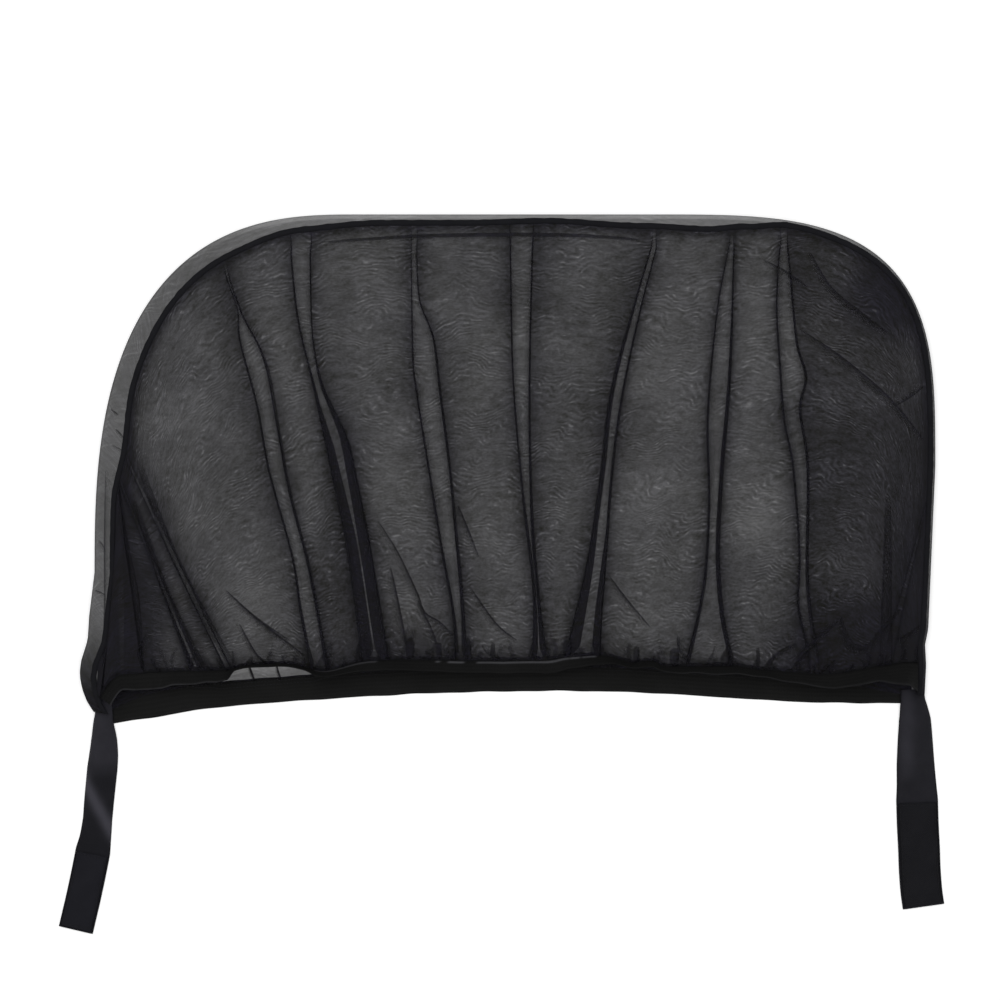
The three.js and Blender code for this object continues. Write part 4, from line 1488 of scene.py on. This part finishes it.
@dataclass
class FrontBand:
    """The front elastic band, on edge in the middle of the mouth and lying down near the sides."""

    thickness: float = 1.2
    tucked: float = 1.2
    widths: Pairs = ((0, 18), (80, 18.5), (115, 15.5), (700, 15.5), (770, 20), (846, 33))
    shown: Pairs = (
        (20, 14), (40, 15.5), (60, 17.5), (81, 16.5), (96, 13.5), (136, 11.5), (148, 9), (158, 0.6), (226, 0.6),
        (240, 4), (300, 10), (400, 12), (480, 13.5), (515, 9), (545, 4), (591, 4.5), (641, 7.5), (681, 6), (721, 10),
        (755, 14), (791, 13.5), (821, 21), (846, 30),
    )
    # Painted highlights along the band's upper edge: where each one runs and how light it is
    painted_upper_highlights: tuple[tuple[float, float, float], ...] = (
        (236, 298, 0.35), (357, 361, 0.6), (369, 385, 0.6), (398, 491, 0.5), (491, 501, 0.6), (503, 517, 0.6),
    )
    trim: float = 0.0006
    shown_waves: Wave = Wave(30.0, 0.5, 61)

    def edges(self, panel: FrontPanel) -> tuple[Array, Array, Array, Array]:
        """The band's two edges, its face's normals and its places across the table."""
        share = np.linspace(self.trim, 1 - self.trim, 620)
        along = panel.hem(share + 0.004) - panel.hem(share - 0.004)
        along[:, 2] = 0
        along = unit(along)
        out = np.stack([along[:, 1], -along[:, 0], np.zeros(len(share))], -1)
        spot = panel.left_end[0] + share * panel.span
        width = table_at(self.widths, spot)
        shown = table_at(self.shown, spot) + self.shown_waves.along(spot)
        tilt = np.arccos(np.clip((shown + self.tucked) / width, 0.0, 0.996))
        down = out * np.cos(tilt)[:, None]
        down[:, 2] = np.sin(tilt)
        normal = np.cross(along, down)
        root = panel.hem(share) - out * self.tucked - np.array([0, 0, 0.9])
        tip = root + down * width[:, None]
        return root, tip, normal, spot

    def build(self, panel: FrontPanel, finish: bpy.types.Material) -> bpy.types.Object:
        """Makes the band's piece."""
        root, tip, normal, spot = self.edges(panel)
        rings, over = slab_rings(root, tip, normal, self.thickness)
        wide = table_at(self.widths, spot)
        cloth = np.stack([np.broadcast_to(spot[:, None], over.shape), over * wide[:, None]], -1)
        # Painted highlights: a light line along the band's lower edge near both sides, and short ones along its upper
        # edge in the middle
        painted_highlight = 0.30 * (over > 0.94) * (1 - smoothstep(spot, 135, 150))[:, None]
        painted_highlight = painted_highlight + 0.12 * (over > 0.95) * smoothstep(spot, 560, 620)[:, None]
        for start, end, light in self.painted_upper_highlights:
            run = smoothstep(spot, start - 2, start + 2) * (1 - smoothstep(spot, end - 2, end + 2))
            painted_highlight = np.maximum(painted_highlight, light * run[:, None] * (np.abs(over - 0.2) < 0.08))
        obj = Maker.tube("front_elastic", rings, cloth, {"painted_highlight": painted_highlight})
        return Maker.dressed(obj, finish, Slot.ELASTIC, "front_elastic_band")


@dataclass
class BackBand:
    """The back elastic band: a flat arch on the table."""

    slant: float = 14.0
    upper_dip: Pairs = ((0, -6), (100, -6), (128, 0), (145, 4.5), (228, 4.5), (250, 0), (900, 0))
    edge_waves: tuple[Wave, Wave] = (Wave(40.0, 0.35, 71), Wave(40.0, 0.35, 72))
    painted_highlight_waves: Wave = Wave(35.0, 0.4, 75)

    def edges(self, panel: BackPanel) -> tuple[Array, Array, Array]:
        """The band's upper and lower edges and its way along."""
        share = np.linspace(0, 1, 420)
        middle, side = panel.band.at(share), panel.band.side(share)
        lean = self.slant * (1 - smoothstep(share, 0, 0.08))
        half = panel.band_width / 2
        spot = share * panel.band.length
        lines = []
        for across, waves in zip((-half, half), self.edge_waves):
            wave = waves.along(spot)
            if across < 0:
                wave = wave + table_at(self.upper_dip, middle[:, 0])
            place = middle + side * (across + wave)[:, None]
            place[:, 0] += lean * (0.5 - across / panel.band_width)
            high = np.full(len(share), panel.band_thickness / 2)
            lines.append(np.concatenate([place, high[:, None]], -1))
        return lines[0], lines[1], spot

    def build(self, panel: BackPanel, finish: bpy.types.Material) -> bpy.types.Object:
        """Makes the band's piece."""
        upper, lower, spot = self.edges(panel)
        normal = np.tile([0.0, 0.0, 1.0], (len(spot), 1))
        rings, over = slab_rings(lower, upper, normal, panel.band_thickness, 12)
        cloth = np.stack([np.broadcast_to(spot[:, None], over.shape), over * panel.band_width], -1)
        # Painted highlight along the band's lower edge, uneven along it
        painted_highlight = 0.10 * np.exp(-over / 0.04) * (0.6 + self.painted_highlight_waves.along(spot))[:, None]
        obj = Maker.tube("back_elastic", rings, cloth, {"painted_highlight": painted_highlight})
        return Maker.dressed(obj, finish, Slot.ELASTIC, "back_elastic_band")


@dataclass(frozen=True)
class Stop:
    """A place along a strap: its middle, the width that shows, the arch's height and the rise onto the band."""

    x: float
    y: float
    width: float
    arch: float
    rise: float


@dataclass
class Strap:
    """A webbing strap with its hook or loop pad, down from a corner of the mouth."""

    name: str
    node: str
    pad_name: str
    pad_node: str
    width: float
    stops: tuple[Stop, ...]
    pad_line: Line
    # Painted sheen over the strap, from the places of its points
    glow: Callable[[Array, Array], Array]
    waves: Wave
    thickness: float = 1.4
    pad_thickness: float = 1.5
    pad_margin: float = 1.5
    pad_end_margin: float = 2.0
    seat: float = 1.5

    def lines(self, steps: int = 240) -> tuple[Array, Array, Array, Array, Array]:
        """Middle line, sideways vectors, widths, arches and heights along the strap."""
        flat = [Stop(x, y, self.width, 0, 0) for x, y in self.pad_line]
        stops = [*self.stops, *flat]
        middle = spline(np.array([(stop.x, stop.y) for stop in stops]), steps)
        along = unit(np.gradient(middle, axis=0))
        side = np.stack([-along[:, 1], along[:, 0]], -1)
        spot = np.linspace(0, len(stops) - 1, steps + 1)
        known = np.arange(len(stops))
        width, arch, rise = (
            np.interp(spot, known, [getattr(stop, key) for stop in stops]) for key in ("width", "arch", "rise")
        )
        return middle, side, width, arch, self.thickness / 2 + self.seat * rise

    def surface(self, across: Array) -> tuple[Array, Array]:
        """Points of the strap's middle surface at ways across, and the way along."""
        middle, side, width, arch, rise = self.lines()
        spot = run_along(middle)
        place = middle[:, None] + side[:, None] * (across[None, :, None] * width[:, None, None])
        wave = self.waves.along(spot)[:, None] * np.cos(np.pi * across)[None] * (arch > 0.4)[:, None]
        high = rise[:, None] + arch[:, None] * np.cos(np.pi * across)[None, :] + wave
        return np.concatenate([place, high[..., None]], -1), spot

    def build(self, finish: bpy.types.Material, pile: bpy.types.Material) -> None:
        """Makes the strap's and the pad's pieces.

        Args:
            finish: The webbing.
            pile: The pad's tape.
        """
        across = np.linspace(-0.5, 0.5, 15)
        points, spot = self.surface(across)
        along = np.gradient(points, axis=0)
        normal = unit(np.cross(np.gradient(points, axis=1), along))
        normal *= np.sign(normal[..., 2:3])
        edge = np.minimum(np.minimum(across + 0.5, 0.5 - across) * 16, 1) ** 0.5
        half = self.thickness / 2 * edge[None, :, None]
        top, under = points + normal * half, points - normal * half
        rings = np.concatenate([top, under[:, -2:0:-1]], axis=1)
        ways = np.concatenate([across, across[-2:0:-1]]) * self.width
        cloth = np.stack(np.broadcast_arrays(spot[:, None], ways[None, :]), -1)
        # Painted sheen at each point
        glow = self.glow(rings[..., 0], rings[..., 1])
        strap = Maker.tube(self.name, rings, cloth, {"glow": glow})
        Maker.dressed(strap, finish, Slot.WEBBING, self.node)
        self.pad(pile)

    def pad_edges(self, inset: float) -> tuple[Array, Array, Array]:
        """The pad's two edges and the way along, drawn in by an inset."""
        middle, side, _, _, rise = self.lines()
        first = len(self.stops) / (len(self.stops) + len(self.pad_line) - 1)
        start = int(math.ceil(first * (len(middle) - 1)))
        middle, side, rise = middle[start:], side[start:], rise[start:]
        spot = run_along(middle)
        keep = (spot > self.pad_end_margin + inset) & (spot < spot[-1] - self.pad_end_margin - inset)
        middle, side, spot, rise = middle[keep], side[keep], spot[keep], rise[keep]
        half = self.width / 2 - self.pad_margin - inset
        high = (rise + self.thickness / 2 + PLAN.seat_gap + self.pad_thickness / 2)[:, None]
        low_edge = np.concatenate([middle - side * half, high], -1)
        high_edge = np.concatenate([middle + side * half, high], -1)
        return low_edge, high_edge, spot

    def pad(self, pile: bpy.types.Material) -> bpy.types.Object:
        """Makes the pad's piece."""
        low, high, spot = self.pad_edges(0.0)
        normal = np.tile([0.0, 0.0, 1.0], (len(spot), 1))
        rings, over = slab_rings(low, high, normal, self.pad_thickness, 14)
        cloth = np.stack([np.broadcast_to(spot[:, None], over.shape), over * self.width], -1)
        obj = Maker.tube(self.pad_name, rings, cloth)
        return Maker.dressed(obj, pile, Slot.PAD, self.pad_node)


# --------------------------------------------------------------------------------------------- stitches


@dataclass
class Stitching:
    """Rows of stitches along lines, each a short rounded thread laid along its line."""

    pitch: float = 3.4
    length: float = 2.4
    radius: float = 0.28

    def tree(self, finish: bpy.types.Material) -> bpy.types.NodeTree:
        """Builds the tree that lays stitches along a curve.

        Args:
            finish: The thread.

        Returns:
            The geometry node tree.
        """
        tree = bpy.data.node_groups.new("stitch_row", "GeometryNodeTree")
        face = tree.interface
        face.new_socket("Path", in_out="INPUT", socket_type="NodeSocketGeometry")
        for name, value in (("Pitch", self.pitch), ("Length", self.length), ("Radius", self.radius)):
            socket = face.new_socket(name, in_out="INPUT", socket_type="NodeSocketFloat")
            socket.default_value = value * MM
        face.new_socket("Stitches", in_out="OUTPUT", socket_type="NodeSocketGeometry")

        def put(kind: str, **settings: Any) -> bpy.types.Node:
            """Adds one node with its settings."""
            node = tree.nodes.new(kind)
            for key, value in settings.items():
                setattr(node, key, value)
            return node

        entry, leave = put("NodeGroupInput"), put("NodeGroupOutput")
        points = put("GeometryNodeCurveToPoints", mode="LENGTH")
        bar = put("GeometryNodeMeshCylinder", fill_type="TRIANGLE_FAN")
        bar.inputs["Vertices"].default_value = 6
        bar.inputs["Side Segments"].default_value = 2
        wobble = put("FunctionNodeRandomValue", data_type="FLOAT_VECTOR")
        wobble.inputs[0].default_value = (0.9, 0.9, 0.82)
        wobble.inputs[1].default_value = (1.1, 1.1, 1.08)
        wobble.inputs["Seed"].default_value = 7
        place = put("GeometryNodeInstanceOnPoints")
        real = put("GeometryNodeRealizeInstances")
        paint = put("GeometryNodeSetMaterial")
        paint.inputs["Material"].default_value = finish
        for source, output, target, socket in (
            (entry, "Path", points, "Curve"),
            (entry, "Pitch", points, "Length"),
            (entry, "Radius", bar, "Radius"),
            (entry, "Length", bar, "Depth"),
            (points, "Points", place, "Points"),
            (points, "Rotation", place, "Rotation"),
            (bar, "Mesh", place, "Instance"),
            (wobble, "Value", place, "Scale"),
            (place, "Instances", real, "Geometry"),
            (real, "Geometry", paint, "Geometry"),
            (paint, "Geometry", leave, "Stitches"),
        ):
            tree.links.new(source.outputs[output], target.inputs[socket])
        return tree

    def rows(
        self, name: str, lines: Sequence[Array], tree: bpy.types.NodeTree, finish: bpy.types.Material, slot: Slot
    ) -> None:
        """Makes one piece of all the stitches along some lines.

        Args:
            name: The piece's name.
            lines: Each row's points, in millimetres.
            tree: The tree that lays stitches.
            finish: The thread.
            slot: The record's slot.
        """
        curve = bpy.data.curves.new(name + "_path", "CURVE")
        curve.dimensions = "3D"
        for line in lines:
            path = curve.splines.new("POLY")
            path.points.add(len(line) - 1)
            flat = np.concatenate([Maker.placed(line), np.ones((len(line), 1))], -1)
            path.points.foreach_set("co", flat.ravel())
        holder = bpy.data.objects.new(name + "_path", curve)
        bpy.context.scene.collection.objects.link(holder)
        modifier = holder.modifiers.new("stitches", "NODES")
        modifier.node_group = tree
        sockets = tree.interface.items_tree
        names = {item.name: item.identifier for item in sockets if item.in_out == "INPUT"}
        modifier[names["Pitch"]] = self.pitch * MM
        bpy.context.view_layer.update()
        shaped = holder.evaluated_get(bpy.context.evaluated_depsgraph_get())
        mesh = bpy.data.meshes.new_from_object(shaped)
        mesh.name = name
        bpy.data.objects.remove(holder)
        obj = bpy.data.objects.new(name, mesh)
        bpy.context.scene.collection.objects.link(obj)
        mesh.shade_smooth()
        Maker.dressed(obj, finish, slot)


# ------------------------------------------------------------------------------------------------ studio


@dataclass
class Studio:
    """Pale floor, soft light and a camera straight above."""

    floor_size: float = 7.0
    camera_height: float = 2.2
    picture_width: float = 1.0
    aim: tuple[float, float] = (0.0016, 0.0732)
    world_strength: float = 0.55
    floor_height: float = -0.0003
    sensor: float = 36.0
    cloth_height: float = 0.008

    def build(self) -> None:
        """Makes the floor, the lamps, the world and the camera."""
        half = self.floor_size / 2
        mesh = bpy.data.meshes.new("studio_floor")
        signs = ((-1, -1), (1, -1), (1, 1), (-1, 1))
        mesh.from_pydata([(half * x, half * y, self.floor_height) for x, y in signs], [], [(0, 1, 2, 3)])
        mesh.materials.append(PaleFloor().made())
        floor = bpy.data.objects.new("studio_floor", mesh)
        bpy.context.scene.collection.objects.link(floor)
        self.lamp("key_softbox", (-0.9, 1.1, 2.3), 2.2, 26.0)
        self.lamp("fill_softbox", (1.4, -0.9, 2.1), 2.4, 12.0)
        self.world()
        camera = bpy.data.cameras.new("camera")
        camera.sensor_width = self.sensor
        camera.lens = self.sensor * (self.camera_height - self.cloth_height) / self.picture_width
        camera.clip_end = 50.0
        eye = bpy.data.objects.new("camera", camera)
        eye.location = (*self.aim, self.camera_height)
        bpy.context.scene.collection.objects.link(eye)
        bpy.context.scene.camera = eye
        bpy.context.scene.view_settings.view_transform = "Standard"

    @staticmethod
    def lamp(name: str, place: tuple[float, float, float], size: float, power: float) -> None:
        """Adds one soft lamp that looks at the object.

        Args:
            name: The lamp's name.
            place: Where it hangs, in metres.
            size: Its side, in metres.
            power: Its power, in watts.
        """
        data = bpy.data.lights.new(name, "AREA")
        data.shape, data.size, data.energy = "SQUARE", size, power
        lamp = bpy.data.objects.new(name, data)
        lamp.location = place
        lamp.rotation_euler = (-Vector(place)).to_track_quat("-Z", "Y").to_euler()
        bpy.context.scene.collection.objects.link(lamp)

    def world(self) -> None:
        """Sets an even pale world that the camera sees as white."""
        world = bpy.data.worlds.new("studio_world")
        bpy.context.scene.world = world
        world.use_nodes = True
        tree = world.node_tree
        tree.nodes.clear()
        path, mix = tree.nodes.new("ShaderNodeLightPath"), tree.nodes.new("ShaderNodeMixShader")
        tree.links.new(path.outputs["Is Camera Ray"], mix.inputs[0])
        for index, strength in ((1, self.world_strength), (2, 1.0)):
            light = tree.nodes.new("ShaderNodeBackground")
            light.inputs["Color"].default_value = (1, 1, 1, 1)
            light.inputs["Strength"].default_value = strength
            tree.links.new(light.outputs[0], mix.inputs[index])
        out = tree.nodes.new("ShaderNodeOutputWorld")
        tree.links.new(mix.outputs[0], out.inputs["Surface"])


# -------------------------------------------------------------------------------------------- the shade


def left_painted_sheen(x: Array, y: Array) -> Array:
    """Painted sheen of the left strap: lighter over its top fold and in a slanted band above the pad."""
    top = 0.36 * smoothstep(y, -90, -60)
    band = np.exp(-(((y + 112) + (x - 18) * 1.9) / 13.0) ** 2)
    return np.clip(top + 1.0 * band, 0, 1)


def right_painted_sheen(x: Array, y: Array) -> Array:
    """Painted sheen of the right strap: weak, along its left half."""
    return np.clip(0.30 * np.exp(-(((x - 828) / 8.0) ** 2)) * smoothstep(y, -95, -60) + 0.12, 0, 1)


LEFT_STRAP = Strap(
    name="left_webbing",
    node="left_strap",
    pad_name="left_loop_tape",
    pad_node="loop_pad",
    width=35.0,
    stops=(
        Stop(24.5, 5, 13, 1, 1), Stop(24, -18, 18, 3, 1), Stop(23.5, -30, 21, 5, 0.9),
        Stop(24, -45, 26, 6, 0.6), Stop(23.5, -60, 29, 6, 0.2), Stop(22, -75, 30.5, 5, 0),
        Stop(19, -105, 30, 4, 0), Stop(17.3, -125, 29.5, 2.5, 0), Stop(15.2, -143, 31.5, 1, 0),
    ),
    pad_line=((12.7, -157), (9.8, -172), (6.5, -188), (2.8, -205), (-1.2, -222), (-4.6, -236.5)),
    glow=left_painted_sheen,
    waves=Wave(21.0, 0.35, 12),
)
RIGHT_STRAP = Strap(
    name="right_webbing",
    node="right_strap",
    pad_name="right_hook_tape",
    pad_node="hook_pad",
    width=42.0,
    stops=(
        Stop(834.5, 5, 23, 1, 1), Stop(835, -6, 25, 3, 1), Stop(837, -25, 32, 5, 0.8), Stop(837.5, -45, 35, 6, 0.3),
        Stop(838, -70, 38, 4.5, 0), Stop(839, -92, 40, 2, 0),
    ),
    pad_line=((839.5, -106), (840.2, -130), (841.4, -154), (842.2, -176), (843.8, -197), (846, -213)),
    glow=right_painted_sheen,
    waves=Wave(21.0, 0.35, 13),
)


class Sunshade:
    """The whole shade, piece by piece."""

    def __init__(self) -> None:
        """Makes the finishes."""
        # The front and back panels are the same mesh; the front is made denser than the back, which partly paints the
        # shade on the floor under the sock's middle
        self.front_finish = SheerMesh("front_sheer_mesh", alpha=0.77, seed=3.0).made()
        self.back_finish = SheerMesh("back_sheer_mesh", alpha=0.59, seed=41.0, contrast=0.5).made()
        self.crease_finish = SheerMesh("creased_sheer_mesh", alpha=0.62, seed=3.0, contrast=0.4).made()
        self.bead_finish = BindingTape("gathered_bead", (0.004, 0.004, 0.005), (0.009, 0.009, 0.010)).made()
        self.binding_finish = BindingTape().made()
        front = ((0.0045, 0.0045, 0.0045), (0.010, 0.010, 0.010))
        back = ((0.0058, 0.0058, 0.0055), (0.013, 0.013, 0.013))
        self.front_elastic = RibbedElastic("front_elastic_knit", *front).made()
        self.back_elastic = RibbedElastic("back_elastic_knit", *back).made()
        self.webbing = Webbing().made()
        self.loop_pile = PileTape("loop_pile", (0.0085, 0.0085, 0.0115), (0.024, 0.024, 0.030), 1.3).made()
        self.hook_pile = PileTape("hook_pile", (0.0065, 0.0065, 0.0080), (0.018, 0.018, 0.021), 2.1).made()
        self.thread = Thread().made()

    def build(self) -> None:
        front, back, binding = FrontPanel(), BackPanel(), Binding()
        front_sheet = front.build(self.front_finish)
        bead = front.bead(self.bead_finish)
        back_sheet = back.build(self.back_finish)
        tape = binding.build(self.binding_finish)
        creases = Creases().build(front, (front_sheet, back_sheet), self.crease_finish)
        front_band, back_band = FrontBand(), BackBand()
        front_elastic = front_band.build(front, self.front_elastic)
        back_elastic = back_band.build(back, self.back_elastic)
        for strap, pile in ((LEFT_STRAP, self.loop_pile), (RIGHT_STRAP, self.hook_pile)):
            strap.build(self.webbing, pile)
        self.stitches(front, back, binding, front_band, back_band)

    def stitches(
        self, front: FrontPanel, back: BackPanel, binding: Binding, front_band: FrontBand, back_band: BackBand
    ) -> None:
        """Makes the stitches along the binding, the bands and the pads.

        Args:
            front: The front panel.
            back: The back panel.
            binding: The bound seam.
            front_band: The front band.
            back_band: The back band.
        """
        sewing = Stitching()
        tree = sewing.tree(self.thread)
        rows = [binding.line(1.7, 1.12)]
        sewing.rows("binding_stitches", rows, tree, self.thread, Slot.BINDING)
        upper, lower, _ = back_band.edges(back)
        top = np.array([0, 0, back.band_thickness / 2 + 0.12])
        rows = [upper * 0.86 + lower * 0.14 + top, upper * 0.72 + lower * 0.28 + top]
        sewing.rows("back_band_stitches", rows, tree, self.thread, Slot.ELASTIC)
        root, tip, normal, _ = front_band.edges(front)
        rows = [root * 0.82 + tip * 0.18 + normal * 0.68]
        sewing.rows("front_band_stitches", rows, tree, self.thread, Slot.ELASTIC)
        for strap, name in ((LEFT_STRAP, "loop_tape_stitches"), (RIGHT_STRAP, "hook_tape_stitches")):
            low, high, _ = strap.pad_edges(2.2)
            lift = np.array([0, 0, strap.pad_thickness / 2 + 0.05])
            ring = np.concatenate([low, high[::-1], low[:1]]) + lift
            sewing.rows(name, [ring], tree, self.thread, Slot.PAD)


def main() -> None:
    """Builds the studio and the shade."""
    logging.basicConfig(level=logging.INFO, format="%(name)s: %(message)s")
    Studio().build()
    Sunshade().build()
    bpy.context.view_layer.update()


if __name__ == "__main__":
    main()
